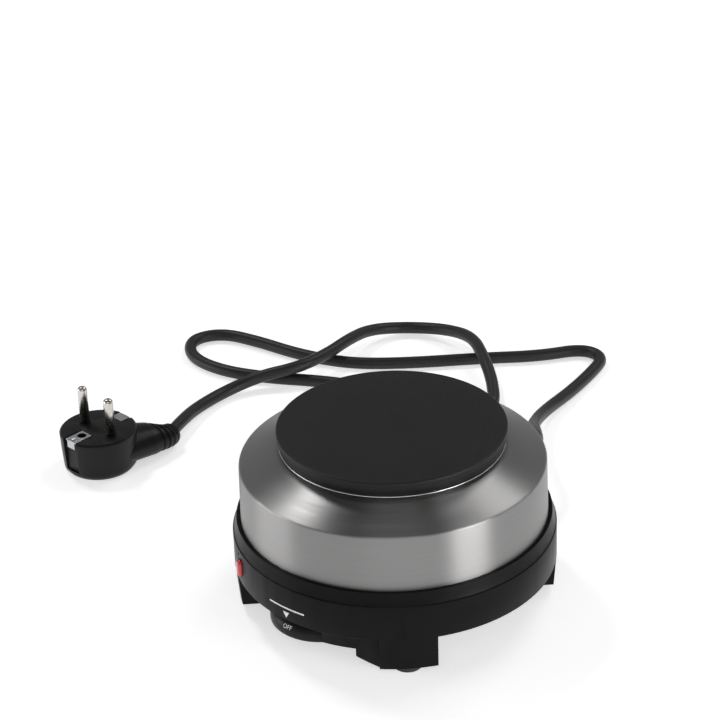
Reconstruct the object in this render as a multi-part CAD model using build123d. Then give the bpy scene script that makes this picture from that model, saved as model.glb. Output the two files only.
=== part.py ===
"""Small electric hot plate: one cast-iron plate on a stainless shell over a black moulded base.

Millimetres, +Z up.  The origin is on the surface that the hot plate stands on, on the axis of
the plate.  The knob is at the front (-Y) and the cord leaves at the back (+Y).
"""
from build123d import *
import os
from math import atan2, cos, degrees, pi, radians, sin, tan

# ---------------------------------------------------------------- driving dimensions
CLEAR = 0.3                 # running clearance between separate pieces
SKIN = 0.05                 # clearance of a push fit

PAD_R = 6.5                 # rubber pads under the feet
PAD_H = 4.0
PAD_STEM_R = 2.0
PAD_STEM_H = 3.5
PAD_IN = 10.2               # centre of a pad from the outside of the base

WALL_R = 70.7               # outside of the base
WALL_T = 2.6
WALL_LOW = 18.8             # underside of the base
WALL_HIGH = 35.2            # rim edge of the base
FLOOR_T = 2.4
LEDGE_Z = 39.4              # the shell stands here
LIP_Z = 41.2
LIP_T = 1.6
FOOT_W = 24.7
FOOT_DEPTH = 20.5           # radial
FOOT_DRAFT = 1.3
FOOT_WALL = 2.6
FOOT_ANGLES = (45, 135, 225, 315)

SHELL_T = 0.6
SHELL_LOW_R = 67.0          # shell wall at its foot
SHELL_TOP_R = 66.5          # shell wall at the shoulder
SHOULDER_Z = 66.5
CONE_TOP_R = 49.5
CONE_TOP_Z = 73.2
SHELL_HOLE_R = 41.0

PLATE_R = 50.0
PLATE_DRAFT = 1.0
PLATE_TOP = 82.5
PLATE_SIDE = 6.8
PLATE_EDGE = 0.8
GROOVE_IN = 20.0            # groove for the element in the plate's underside
GROOVE_OUT = 43.0
GROOVE_DEPTH = 3.8
BOSS_R = 7.5
BOSS_DROP = 5.2
RING_T = 0.6
RING_WEB_R = 46.1
COIL_R = 1.5                # element tube
COIL_OUT = 37.5
COIL_IN = 26.5
COIL_START = 22.0           # degrees, where both ends of the element are
COIL_END = 330.0
PIN_R = 0.9                 # element pins

STUD_R = 3.0                # M6
NUT_AF = 10.0
NUT_T = 4.8
WASHER_R = 7.0
WASHER_T = 1.0
SHIELD_T = 0.5
SHIELD_FLANGE_R = 46.5
SHIELD_WALL_R = 38.0
SHIELD_FLOOR_R = 33.0
SHIELD_FLOOR_Z = 63.5       # top of the shield's floor
PAD_WOOL_T = 4.5

BRIDGE_Z = 56.0             # underside of the clamp bridge
BRIDGE_T = 1.5
BRIDGE_W = 14.0
POST_X = 52.0
POST_R = 5.0
M4_R = 1.95
M3_R = 1.45
EARTH_X = -28.0             # earth screw on the bridge

KNOB_Y = -48.5
KNOB_R = 22.4
KNOB_LOW = 11.0
KNOB_H = 7.3
KNOB_SIDE = 4.0             # straight part of the knob's side
KNOB_WALL = 2.2
SHAFT_R = 3.0
SHAFT_FLAT = 1.0

GUARD_T = 2.5               # skirt between the knob and the right front foot
GUARD_START_X = 9.0
GUARD_IN = 2.7              # outside of the skirt from the outside of the base
GUARD_LOW_Z = 8.7
GUARD_STEP_Z = 12.4
GUARD_STEP_A = -63.8
GUARD_FOOT_A = -55.5

LENS_A = -120.0             # direction of the lamp
LENS_W = 4.6
LENS_H = 8.0
LENS_Z = 27.0
LENS_OUT = 1.7              # stands out of the wall by this
MARK_T = 0.15               # printed marks
MARK_Z = 25.5
MARK_HALF_A = 7.9

COVER_Y = 12.0              # bottom cover, off the axis to clear the knob
COVER_R = 36.5
COVER_T = 0.8
SERVICE_R = 30.0
COVER_SCREW_R = 33.2
COVER_SCREW_ANGLES = (0, 120, 240)

BRACKET_SCREW_X = 21.0
STACK_X = -12.0             # thermostat stack
STACK_R = 4.5
BLADE_T = 0.4
BLADE_W = 6.0
BRACKET_T = 1.0
BRACKET_Z = 22.4

LAMP_R = 2.2
LAMP_IN = 6.6               # centre of the lamp from the inside of the wall
BLOCK_X, BLOCK_Y = 27.0, 28.0   # terminal block
BLOCK_PITCH = 8.0
FUSE_Y = 24.0
FUSE_R = 2.0

CORD_R = 3.1
CORD_Z = 27.0               # height of the cord's way through the wall
GLAND_TIP_Y = 96.0
GLAND_TIP_R = 4.6
GLAND_ROOT_R = 6.4
GLAND_NECK_R = 4.9
GLAND_FLANGE_R = 5.6        # flange inside the wall
GLAND_BORE_CLEAR = 0.2
LEAD_R = 1.05
CLAMP_Y = 56.0
CLAMP_HALF_W = 13.0
CLAMP_SCREW_X = 8.5

PLUG_X, PLUG_Y = -184.1, -5.3
PLUG_FACE_Z = 20.0
PLUG_R = 18.6
PLUG_FOOT_IN = 2.6          # the plug is narrower at the table by this
PLUG_PIN_A = -3.0           # direction of the line through both pins
PLUG_PIN_GAP = 19.0
PLUG_PIN_R = 2.4
PLUG_PIN_L = 19.0
PLUG_ROOT_R = 2.0           # pin inside the body
PLUG_ROOT_L = 12.0
PLUG_LIMB_A = 63.5          # direction in which the body tapers to the cord
PLUG_HOLE_OFF = 10.0        # earth socket from the middle of the pins
RELIEF_R = 5.5
RELIEF_END = (-170.5, 29.0, 6.2)

# The cord's way from the gland to the plug, chosen by hand.  Heights are of its centre line.
CORD_POINTS = [
    (0, GLAND_TIP_Y, CORD_Z), (0, 110, CORD_Z), (-9, 127, 20), (-25, 144, 11.5),
    (-38.5, 163, 5.2), (-45, 184, 3.1), (-50, 208, 3.1), (-53, 229, 3.1), (-68, 228, 3.1),
    (-81, 208, 3.1), (-103, 188, 3.1), (-127.8, 162.6, 3.1), (-147.6, 145.8, 3.1),
    (-164.8, 137.9, 3.1), (-184.5, 133.1, 3.1), (-207, 131.3, 3.1), (-229.6, 126.7, 3.1),
    (-237.7, 110.2, 3.1), (-222.9, 96.5, 3.1), (-199.6, 95.8, 3.1), (-175.6, 105, 3.1),
    (-155.4, 116.8, 3.1), (-135.4, 125.9, 3.1), (-114.2, 120, 3.1), (-94.7, 107.8, 3.1),
    (-74.2, 112.6, 3.1), (-62.2, 129.9, 3.1), (-64.8, 151, 3.1), (-78.7, 166.7, 9),
    (-94.6, 179.4, 15.5), (-112.5, 192.8, 15.5), (-133.8, 198, 9), (-155.1, 191.9, 3.6),
    (-165.1, 173, 9), (-162.1, 153, 15.5), (-159.8, 132.3, 15.5), (-161.8, 111.9, 15.5),
    (-175.7, 98.9, 9), (-183.3, 78.9, 3.1), (-181.3, 58.6, 4), (-175.6, 43.1, 6.2), RELIEF_END,
]
ARC_SHARE = 0.45            # of the shorter run, taken by an arc on each side of its corner

# ---------------------------------------------------------------- sizes that follow
FLOOR_Z = WALL_LOW + FLOOR_T
WALL_IN = WALL_R - WALL_T
PLATE_LOW = PLATE_TOP - PLATE_SIDE
PLATE_LOW_R = PLATE_R - PLATE_DRAFT
GROOVE_Z = PLATE_LOW + GROOVE_DEPTH
COIL_Z = PLATE_LOW + GROOVE_DEPTH / 2
SHELL_LEDGE_Z = CONE_TOP_Z - SHELL_T
BRIDGE_TOP = BRIDGE_Z + BRIDGE_T
FOOT_R = WALL_R - FOOT_DEPTH
PAD_AT_R = WALL_R - PAD_IN
GLAND_BORE_R = CORD_R + GLAND_BORE_CLEAR
PLUG_FOOT_R = PLUG_R - PLUG_FOOT_IN
KNOB_TOP = KNOB_LOW + KNOB_H
BRACKET_TOP = BRACKET_Z + BRACKET_T
STACK_LOW = BRACKET_TOP
FIXED_Z = STACK_LOW + 6.0
MOVING_Z = FIXED_Z + BLADE_T + 2.5
BIMETAL_Z = MOVING_Z + BLADE_T + 3.5
STACK_TOP = BIMETAL_Z + 3.0
BLADE_ROOT_X = STACK_X + STACK_R + CLEAR
BLADE_TIP_X = 12.0
BUTTON_X = 9.0
COVER_LOW = WALL_LOW + 0.2
COVER_TOP = COVER_LOW + COVER_T
PIN_END_Z = SHIELD_FLOOR_Z - 8.0
TAIL_Y = CLAMP_Y - 9.0
TAB_X = STACK_X - 14.0
BLOCK_WAY_Z = COVER_TOP + 6.0
WAY_X = BLOCK_X - BLOCK_PITCH
BARREL_Z = BRIDGE_TOP + 1.9
FUSE_Z = SHIELD_FLOOR_Z - SHIELD_T - FUSE_R - CLEAR


# ---------------------------------------------------------------- helpers
def at(shape, x=0.0, y=0.0, z=0.0, turn=0.0):
    """A shape turned about Z and then moved."""
    return Pos(x, y, z) * (Rot(0, 0, turn) * shape)


def disc(radius, low, high, x=0.0, y=0.0):
    """An upright cylinder between two heights."""
    base = (Align.CENTER, Align.CENTER, Align.MIN)
    return Pos(x, y, low) * Cylinder(radius, high - low, align=base)


def tube(outer, inner, low, high, x=0.0, y=0.0):
    """An upright tube between two heights."""
    return disc(outer, low, high, x, y) - disc(inner, low - 1, high + 1, x, y)


def block(x0, x1, y0, y1, z0, z1):
    """A box between six planes."""
    base = (Align.MIN, Align.MIN, Align.MIN)
    return Pos(x0, y0, z0) * Box(x1 - x0, y1 - y0, z1 - z0, align=base)


def turned(outline, angle=360.0):
    """A solid turned about the Z axis from (radius, height) points."""
    profile = make_face(Polyline([(r, 0, z) for r, z in outline], close=True))
    return revolve(profile, Axis.Z, angle)


def bar(radius, start, end):
    """A round bar between two points."""
    path = Vector(*end) - Vector(*start)
    plane = Plane(origin=start, z_dir=path.normalized())
    base = (Align.CENTER, Align.CENTER, Align.MIN)
    return plane * Cylinder(radius, path.length, align=base)


def polar(radius, angle):
    """X and Y of a point at a radius and an angle in degrees."""
    return radius * cos(radians(angle)), radius * sin(radians(angle))


def arc_radii(points):
    """The radius at each inner corner of a route, as large as its two runs allow."""
    spots = [Vector(*point) for point in points]
    radii = []
    for before, corner, after in zip(spots, spots[1:], spots[2:]):
        one, two = corner - before, after - corner
        half = radians(one.get_angle(two)) / 2
        radii.append(ARC_SHARE * min(one.length, two.length) / tan(half))
    return radii


def route_solid(points, radius):
    """A round tube along straight runs joined by tangent arcs."""
    path = FilletPolyline(*points, radius=arc_radii(points))
    start = Plane(origin=path @ 0, z_dir=path % 0)
    return sweep(start * Circle(radius), path=path)


def screw(radius, head_r, head_t, length, x, y, z, down=True):
    """A pan-head screw with a cross slot; z is the seat of its head."""
    head = disc(head_r, 0, head_t) - block(-head_r, head_r, -0.4, 0.4, head_t * 0.5, head_t + 1)
    head -= block(-0.4, 0.4, -head_r, head_r, head_t * 0.5, head_t + 1)
    body = head + disc(radius, -length, 0)
    body = body if down else Rot(180, 0, 0) * body
    return Pos(x, y, z) * body


def hexagon(across, thick):
    """A nut without its hole."""
    return extrude(RegularPolygon(across / 2, 6, major_radius=False), thick)


def group(solids):
    """Separate solids that share one node."""
    return Compound(children=list(solids))


# ---------------------------------------------------------------- hot plate
def hot_plate():
    """Cast plate with a groove for the element below and a boss for the stud."""
    outline = [(0, PLATE_TOP), (PLATE_R - PLATE_EDGE, PLATE_TOP), (PLATE_R, PLATE_TOP - PLATE_EDGE),
               (PLATE_LOW_R, PLATE_LOW), (GROOVE_OUT, PLATE_LOW), (GROOVE_OUT, GROOVE_Z),
               (GROOVE_IN, GROOVE_Z), (GROOVE_IN, PLATE_LOW), (BOSS_R, PLATE_LOW),
               (BOSS_R, PLATE_LOW - BOSS_DROP), (0, PLATE_LOW - BOSS_DROP)]
    return turned(outline) - disc(STUD_R + SKIN, PLATE_LOW - BOSS_DROP - 1, PLATE_LOW + 2.5)


def trim_ring():
    """Bright ring between the plate's edge and the shell."""
    inner = RING_WEB_R - RING_T
    outline = [(inner, CONE_TOP_Z), (RING_WEB_R, CONE_TOP_Z), (RING_WEB_R, PLATE_LOW - RING_T),
               (PLATE_LOW_R, PLATE_LOW - RING_T), (PLATE_LOW_R, PLATE_LOW), (inner, PLATE_LOW)]
    return turned(outline)


def coil_half(radius):
    """One turn of the element, open at its start."""
    ring = Pos(radius, 0, COIL_Z) * (Rot(90, 0, 0) * Circle(COIL_R))
    return Rot(0, 0, COIL_START) * revolve(ring, Axis.Z, COIL_END - COIL_START)


def element_shape():
    """Two turns of the element joined by a U-bend."""
    middle, half = (COIL_OUT + COIL_IN) / 2, (COIL_OUT - COIL_IN) / 2
    x, y = polar(middle, COIL_END)
    section = Pos(half, 0, 0) * (Rot(90, 0, 0) * Circle(COIL_R))
    bend = revolve(section, Axis.Z, 180)
    return coil_half(COIL_OUT) + coil_half(COIL_IN) + at(bend, x, y, COIL_Z, COIL_END)


def element_ends():
    """Where the two ends of the element are, in plan."""
    return [polar(radius, COIL_START + 1.5) for radius in (COIL_OUT, COIL_IN)]


def heating_coil():
    """The element with its two pins that come down through the shield."""
    shape = element_shape()
    for x, y in element_ends():
        shape += disc(PIN_R, PIN_END_Z, COIL_Z, x, y)
    return shape


def coil_filler():
    """Insulating compound that fills the plate's groove around the element."""
    fill = tube(GROOVE_OUT, GROOVE_IN, PLATE_LOW, GROOVE_Z)
    fill -= element_shape()
    for x, y in element_ends():
        fill -= disc(PIN_R, PLATE_LOW - 1, COIL_Z, x, y)
    return fill


def wool_ring():
    """Heat-insulating ring that lies in the shield."""
    ring = tube(SHIELD_FLOOR_R - 1, WASHER_R + 2, SHIELD_FLOOR_Z, SHIELD_FLOOR_Z + PAD_WOOL_T)
    for x, y in element_ends():
        ring -= disc(PIN_R + 2.6, SHIELD_FLOOR_Z - 1, SHIELD_FLOOR_Z + PAD_WOOL_T + 1, x, y)
    return ring


def heat_shield():
    """Sheet dish under the plate; its flange is held against the shell."""
    top, thick = SHELL_LEDGE_Z, SHIELD_T
    outline = [(STUD_R + CLEAR, SHIELD_FLOOR_Z), (SHIELD_FLOOR_R, SHIELD_FLOOR_Z),
               (SHIELD_WALL_R, top), (SHIELD_FLANGE_R, top), (SHIELD_FLANGE_R, top - thick),
               (SHIELD_WALL_R + thick, top - thick), (SHIELD_FLOOR_R + thick, SHIELD_FLOOR_Z - thick),
               (STUD_R + CLEAR, SHIELD_FLOOR_Z - thick)]
    dish = turned(outline)
    for x, y in element_ends():
        dish -= disc(PIN_R + 1.7, SHIELD_FLOOR_Z - 4, SHIELD_FLOOR_Z + 12, x, y)
    return dish


def pin_beads():
    """Ceramic beads that keep the element's pins off the shield."""
    beads = []
    for x, y in element_ends():
        bead = disc(PIN_R + 1.4, SHIELD_FLOOR_Z - 3.5, SHIELD_FLOOR_Z + 7.5, x, y)
        bead -= disc(PIN_R + SKIN, SHIELD_FLOOR_Z - 5, SHIELD_FLOOR_Z + 9, x, y)
        beads.append(bead)
    return group(beads)


def plate_stud():
    """Stud that pulls the plate down onto the shell."""
    return disc(STUD_R, BRIDGE_Z - NUT_T - 2.5, PLATE_LOW + 2.4)


def stud_washers():
    """Washers under the shield and under the bridge."""
    tops = (SHIELD_FLOOR_Z - SHIELD_T, BRIDGE_Z)
    return group(tube(WASHER_R, STUD_R + SKIN, top - WASHER_T, top) for top in tops)


def stud_nuts():
    """The shield's nut and the bridge's nut."""
    nuts = []
    for top, thick in ((SHIELD_FLOOR_Z - SHIELD_T - WASHER_T, NUT_T * 0.9), (BRIDGE_Z - WASHER_T, NUT_T)):
        nut = Pos(0, 0, top - thick) * hexagon(NUT_AF, thick)
        nuts.append(nut - disc(STUD_R + SKIN, top - thick - 1, top + 1))
    return group(nuts)


def clamp_bridge():
    """Steel bar that ties the stud to the two posts of the base."""
    end = POST_X + BRIDGE_W / 2
    bridge = block(-end, end, -BRIDGE_W / 2, BRIDGE_W / 2, BRIDGE_Z, BRIDGE_TOP)
    bridge -= disc(STUD_R + CLEAR, BRIDGE_Z - 1, BRIDGE_TOP + 1)
    for side in (-1, 1):
        bridge -= disc(M4_R + CLEAR, BRIDGE_Z - 1, BRIDGE_TOP + 1, side * POST_X)
    bridge -= disc(M3_R + SKIN, BRIDGE_Z - 1, BRIDGE_TOP + 1, EARTH_X)
    return bridge


def bridge_screws():
    """Screws from the bridge into the posts."""
    return group(screw(M4_R, 3.8, 2.4, 11, side * POST_X, 0, BRIDGE_TOP) for side in (-1, 1))



def earth_tag():
    """Ring tag of the earth lead, under its screw."""
    ring = tube(3.2, M3_R + SKIN, BRIDGE_TOP, BRIDGE_TOP + 0.8, EARTH_X)
    tongue = block(EARTH_X - 1.4, EARTH_X + 1.4, 2.8, 9, BRIDGE_TOP, BRIDGE_TOP + 0.8)
    barrel = bar(1.9, (EARTH_X, 8.6, BARREL_Z), (EARTH_X, 13.6, BARREL_Z))
    barrel -= bar(LEAD_R + SKIN, (EARTH_X, 8.9, BARREL_Z), (EARTH_X, 14, BARREL_Z))
    return ring + tongue + barrel


def earth_screw():
    """Screw that holds the earth tag to the bridge."""
    return screw(M3_R, 2.8, 2.0, 5.5, EARTH_X, 0, BRIDGE_TOP + 0.8)


# ---------------------------------------------------------------- shell and base
def steel_shell():
    """Spun stainless shell: a wall, a sharp shoulder and a low cone with a flange inside."""
    t = SHELL_T
    outline = [(SHELL_LOW_R, LEDGE_Z), (SHELL_TOP_R, SHOULDER_Z), (CONE_TOP_R, CONE_TOP_Z),
               (SHELL_HOLE_R, CONE_TOP_Z), (SHELL_HOLE_R, SHELL_LEDGE_Z),
               (CONE_TOP_R - 0.1, SHELL_LEDGE_Z), (SHELL_TOP_R - t, SHOULDER_Z - t * 0.7),
               (SHELL_LOW_R - t, LEDGE_Z)]
    return turned(outline)


def base_ring():
    """Wall, floor and ledge of the base, all turned."""
    lip_in = SHELL_LOW_R + 0.25
    ledge_in = SHELL_LOW_R - 3.5
    outline = [(0, WALL_LOW), (WALL_R - 0.6, WALL_LOW), (WALL_R, WALL_LOW + 0.6),
               (WALL_R, WALL_HIGH), (WALL_R - 0.5, WALL_HIGH + 0.45), (lip_in + LIP_T, LIP_Z),
               (lip_in, LIP_Z), (lip_in, LEDGE_Z), (ledge_in, LEDGE_Z), (ledge_in, LEDGE_Z - 2.4),
               (WALL_IN - 1.4, WALL_HIGH), (WALL_IN, WALL_HIGH - 2.5), (WALL_IN, FLOOR_Z), (0, FLOOR_Z)]
    return turned(outline)


def foot(angle):
    """One hollow foot, flush with the wall and with a little draft."""
    low = PAD_H
    body = block(FOOT_R, WALL_R + 2, -FOOT_W / 2, FOOT_W / 2, low, WALL_LOW + 0.7)
    limit = turned([(0, low), (WALL_R - FOOT_DRAFT, low), (WALL_R, WALL_LOW + 0.7), (0, WALL_LOW + 0.7)])
    wall = FOOT_WALL
    hollow = block(FOOT_R + wall, WALL_IN - 1, wall - FOOT_W / 2, FOOT_W / 2 - wall,
                   low + 4.6, FLOOR_Z + 1)
    stem = disc(PAD_STEM_R + SKIN, low - 1, low + PAD_STEM_H + 0.2, PAD_AT_R)
    return Rot(0, 0, angle) * ((body & limit) - stem), Rot(0, 0, angle) * hollow


def knob_guard():
    """Skirt between the knob and the right front foot; its lower edge slopes and then steps up."""
    outer = WALL_R - GUARD_IN
    ring = tube(outer, outer - GUARD_T, PAD_H, WALL_LOW + 0.7)
    step_x = polar(outer, GUARD_STEP_A)[0]
    foot_x = polar(outer, GUARD_FOOT_A)[0]
    mask = Polyline([(GUARD_START_X, 0, GUARD_STEP_Z), (step_x, 0, GUARD_STEP_Z), (step_x, 0, GUARD_LOW_Z),
                     (foot_x, 0, PAD_H), (foot_x + 3, 0, PAD_H), (foot_x + 3, 0, WALL_LOW + 0.7),
                     (GUARD_START_X, 0, WALL_LOW + 0.7)], close=True)
    slab = Pos(0, -outer + 16, 0) * extrude(make_face(mask), -30, dir=(0, 1, 0))
    return (ring & slab) - disc(KNOB_R + 1.2, 0, WALL_LOW + 0.2, 0, KNOB_Y)


def base_housing():
    """Moulded base with its feet, posts, bosses and openings."""
    shape = base_ring()
    feet = [foot(angle) for angle in FOOT_ANGLES]
    for solid, _ in feet:
        shape += solid
    for _, hollow in feet:
        shape -= hollow
    shape += knob_guard()
    shape -= disc(SERVICE_R, WALL_LOW - 1, FLOOR_Z + 1, 0, COVER_Y)
    shape -= disc(COVER_R + CLEAR, WALL_LOW - 1, COVER_TOP, 0, COVER_Y)
    for angle in COVER_SCREW_ANGLES:
        x, y = polar(COVER_SCREW_R, angle)
        shape += disc(3.2, COVER_TOP, COVER_TOP + 6, x, y + COVER_Y)
        shape -= disc(M3_R, COVER_TOP - 2, COVER_TOP + 5, x, y + COVER_Y)
    for side in (-1, 1):
        shape += disc(POST_R, FLOOR_Z - 0.5, BRIDGE_Z, side * POST_X)
        shape -= disc(M4_R, BRIDGE_Z - 12, BRIDGE_Z + 1, side * POST_X)
        shape += disc(3.5, FLOOR_Z - 0.5, BRACKET_Z, side * BRACKET_SCREW_X, KNOB_Y)
        shape -= disc(M3_R, WALL_LOW + 0.6, BRACKET_Z + 1, side * BRACKET_SCREW_X, KNOB_Y)
    shape -= disc(SHAFT_R + CLEAR, WALL_LOW - 1, FLOOR_Z + 1, 0, KNOB_Y)
    shape += block(-CLAMP_HALF_W, CLAMP_HALF_W, CLAMP_Y - 5, CLAMP_Y + 5, FLOOR_Z - 0.5, CORD_Z - 0.5)
    shape -= bar(CORD_R + SKIN, (0, CLAMP_Y - 8, CORD_Z), (0, CLAMP_Y + 8, CORD_Z))
    for side in (-1, 1):
        shape -= disc(M3_R, FLOOR_Z + 0.4, CORD_Z + 1, side * CLAMP_SCREW_X, CLAMP_Y)
    shape -= bar(GLAND_NECK_R + SKIN, (0, WALL_IN - 6, CORD_Z), (0, WALL_R + 3, CORD_Z))
    shape -= lens_block(LENS_W / 2 + SKIN, LENS_H / 2 + SKIN, WALL_IN - 3, WALL_R + 3)
    x, y = polar(WALL_R + 0.3, LENS_A - 1)
    return shape - Pos(x, y, LENS_Z + LENS_H / 2 + 2.2) * Sphere(0.8)


def lens_block(half_w, half_h, inner, outer):
    """A block in the direction of the lamp, between two radii."""
    return Rot(0, 0, LENS_A) * block(inner, outer, -half_w, half_w, LENS_Z - half_h, LENS_Z + half_h)


def foot_pads():
    """Rubber pads with a stem that is pushed into each foot."""
    pads = []
    for angle in FOOT_ANGLES:
        x, y = polar(PAD_AT_R, angle)
        pad = disc(PAD_R, 0, PAD_H, x, y)
        pad = chamfer(pad.edges().group_by(Axis.Z)[0], 0.6)
        pads.append(pad + disc(PAD_STEM_R, PAD_H - 0.5, PAD_H + PAD_STEM_H, x, y))
    return group(pads)


def bottom_cover():
    """Round steel cover over the wiring, with three rows of vents."""
    cover = disc(COVER_R, COVER_LOW, COVER_TOP, 0, COVER_Y)
    for angle in COVER_SCREW_ANGLES:
        x, y = polar(COVER_SCREW_R, angle)
        cover -= disc(M3_R + 0.2, COVER_LOW - 1, COVER_TOP + 1, x, y + COVER_Y)
    for row in (-1, 0, 1):
        slot = extrude(SlotOverall(26 if row else 34, 2.4), 3)
        for side in (-1, 1):
            cover -= Pos(0, COVER_Y + row * 6 + side * 9, COVER_LOW - 1) * slot
    return cover


def cover_screws():
    """Screws of the bottom cover, with their heads below it."""
    screws = []
    for angle in COVER_SCREW_ANGLES:
        x, y = polar(COVER_SCREW_R, angle)
        screws.append(screw(M3_R, 2.7, 1.3, 5.0, x, y + COVER_Y, COVER_LOW, down=False))
    return group(screws)


def wall_marks():
    """Line and pointer printed on the wall over the knob."""
    ring = tube(WALL_R + MARK_T, WALL_R, MARK_Z - 0.35, MARK_Z + 0.35)
    half = WALL_R * sin(radians(MARK_HALF_A))
    line = ring & block(-half, half, -WALL_R - 2, 0, MARK_Z - 2, MARK_Z + 2)
    tip, top = MARK_Z - 4.8, MARK_Z - 2.0
    outline = make_face(Polyline([(-1.7, 0, top), (1.7, 0, top), (0, 0, tip)], close=True))
    prism = Pos(0, -WALL_R + 4, 0) * extrude(outline, -10, dir=(0, 1, 0))
    pointer = prism & tube(WALL_R + MARK_T, WALL_R, tip - 1, top + 1)
    return group([line, pointer])


# ---------------------------------------------------------------- knob and thermostat

def control_knob():
    """Flat thumb wheel, hollow below, with a hub for the flat of the shaft."""
    top, low = KNOB_TOP, KNOB_LOW
    outline = [(0, low), (KNOB_R - 0.7, low), (KNOB_R, low + 0.7), (KNOB_R, low + KNOB_SIDE),
               (KNOB_R - 1.0, low + KNOB_SIDE + 1.6), (KNOB_R - 3.0, top), (0, top)]
    wheel = turned(outline)
    wheel -= tube(KNOB_R - KNOB_WALL, SHAFT_R + 2.5, low - 1, top - 2.2)
    for step in range(6):
        rib = block(SHAFT_R + 2, KNOB_R - KNOB_WALL + 0.5, -0.6, 0.6, low + 0.6, top - 2)
        wheel += at(rib, turn=step * 60 + 30)
    flat = block(-SHAFT_R - 1, SHAFT_R + 1, SHAFT_R - SHAFT_FLAT, SHAFT_R + 1, low - 1, top + 1)
    bore = disc(SHAFT_R + SKIN, low + 1.2, top + 1) - Pos(0, SKIN, 0) * flat
    return Pos(0, KNOB_Y, 0) * (wheel - bore)


def knob_marks():
    """Raised index and scale dots on the sloping edge of the knob."""
    marks = []
    for angle, length in [(-90, 2.2)] + [(-90 + step * 45, 1.0) for step in range(1, 7)]:
        x, y = polar(KNOB_R - 4.6, angle)
        marks.append(at(block(-length / 2, length / 2, -0.4, 0.4, 0, 0.15), x, y + KNOB_Y, KNOB_TOP, angle))
    return group(marks)


def thermostat_shaft():
    """Control shaft with a flat at the knob and a collar over the base."""
    shaft = disc(SHAFT_R, KNOB_LOW + 1.3, FIXED_Z - 2, 0, KNOB_Y)
    flat = block(-SHAFT_R - 1, SHAFT_R + 1, SHAFT_R - SHAFT_FLAT, SHAFT_R + 1, 0, KNOB_TOP + 0.2)
    return shaft - Pos(0, KNOB_Y, 0) * flat


def push_pin():
    """Ceramic pin on the end of the shaft, which lifts the moving blade."""
    return disc(1.1, FIXED_Z - 2, MOVING_Z - 0.6, 0, KNOB_Y)


def thermostat_bracket():
    """Steel strap that carries the thermostat."""
    end = BRACKET_SCREW_X + 4
    strap = block(-end, end, KNOB_Y - 6, KNOB_Y + 6, BRACKET_Z, BRACKET_TOP)
    strap -= disc(SHAFT_R + CLEAR, BRACKET_Z - 1, BRACKET_TOP + 1, 0, KNOB_Y)
    strap -= disc(1.55, BRACKET_Z - 1, BRACKET_TOP + 1, STACK_X, KNOB_Y)
    for side in (-1, 1):
        strap -= disc(M3_R + 0.2, BRACKET_Z - 1, BRACKET_TOP + 1, side * BRACKET_SCREW_X, KNOB_Y)
    return strap


def thermostat_bush():
    """Brass bush that guides the shaft."""
    return tube(SHAFT_R + 1.7, SHAFT_R + 0.1, BRACKET_TOP, FIXED_Z - 2.6, 0, KNOB_Y)


def bracket_screws():
    """Screws that hold the strap to the base."""
    spots = (-BRACKET_SCREW_X, BRACKET_SCREW_X)
    return group(screw(M3_R, 2.6, 1.8, 3.8, x, KNOB_Y, BRACKET_TOP) for x in spots)


def stack_insulators():
    """Ceramic spacers of the thermostat's stack."""
    levels = [(STACK_LOW, FIXED_Z), (FIXED_Z + BLADE_T, MOVING_Z), (MOVING_Z + BLADE_T, BIMETAL_Z),
              (BIMETAL_Z + 0.6, STACK_TOP)]
    return group(tube(STACK_R, 1.55, low, high, STACK_X, KNOB_Y) for low, high in levels)


def stack_rivet():
    """Rivet through the stack and the strap."""
    rivet = disc(1.5, BRACKET_Z, STACK_TOP + 0.1, STACK_X, KNOB_Y)
    return rivet + disc(2.8, STACK_TOP, STACK_TOP + 1.2, STACK_X, KNOB_Y)


def blade(x0, x1, low, thick=BLADE_T):
    """A flat spring blade along X."""
    return block(x0, x1, KNOB_Y - BLADE_W / 2, KNOB_Y + BLADE_W / 2, low, low + thick)


def fixed_contact_blade():
    """Lower blade with its contact and its tab."""
    strip = blade(TAB_X, BLADE_TIP_X, FIXED_Z) - disc(1.55, FIXED_Z - 1, FIXED_Z + 1, STACK_X, KNOB_Y)
    strip -= disc(1.9, FIXED_Z - 1, FIXED_Z + 1, 0, KNOB_Y)
    return strip + disc(1.6, FIXED_Z + BLADE_T, FIXED_Z + BLADE_T + 0.8, BUTTON_X, KNOB_Y)


def blade_tab():
    """Tab of the moving blade, held in the stack."""
    tab = blade(TAB_X, STACK_X + STACK_R, MOVING_Z)
    return tab - disc(1.55, MOVING_Z - 1, MOVING_Z + 1, STACK_X, KNOB_Y)


def moving_contact_blade():
    """Upper blade that flexes down to close the contacts."""
    strip = blade(BLADE_ROOT_X, BLADE_TIP_X, MOVING_Z)
    return strip + disc(1.6, MOVING_Z - 0.8, MOVING_Z, BUTTON_X, KNOB_Y)


def bimetal_strip():
    """Bimetal over the blades."""
    strip = blade(STACK_X - 5, BLADE_TIP_X + 2, BIMETAL_Z, 0.6)
    return strip - disc(1.55, BIMETAL_Z - 1, BIMETAL_Z + 1, STACK_X, KNOB_Y)


# ---------------------------------------------------------------- lamp
LAMP_SPOT = polar(WALL_IN - LAMP_IN, LENS_A)

def indicator_lens():
    """Red lens: a rounded bar through the wall with a flange inside."""
    nose = lens_block(LENS_W / 2, LENS_H / 2, WALL_IN - 1.6, WALL_R + LENS_OUT)
    nose = fillet(nose.edges().group_by(SortBy.DISTANCE)[-1], 1.0)
    flange = lens_block(LENS_W / 2 + 1.6, LENS_H / 2 + 1.3, WALL_IN - 2.4, WALL_IN - 0.6)
    hollow = lens_block(LENS_W / 2 - 1.1, LENS_H / 2 - 1.1, WALL_IN - 4, WALL_R - 0.6)
    return nose + flange - hollow


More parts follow.
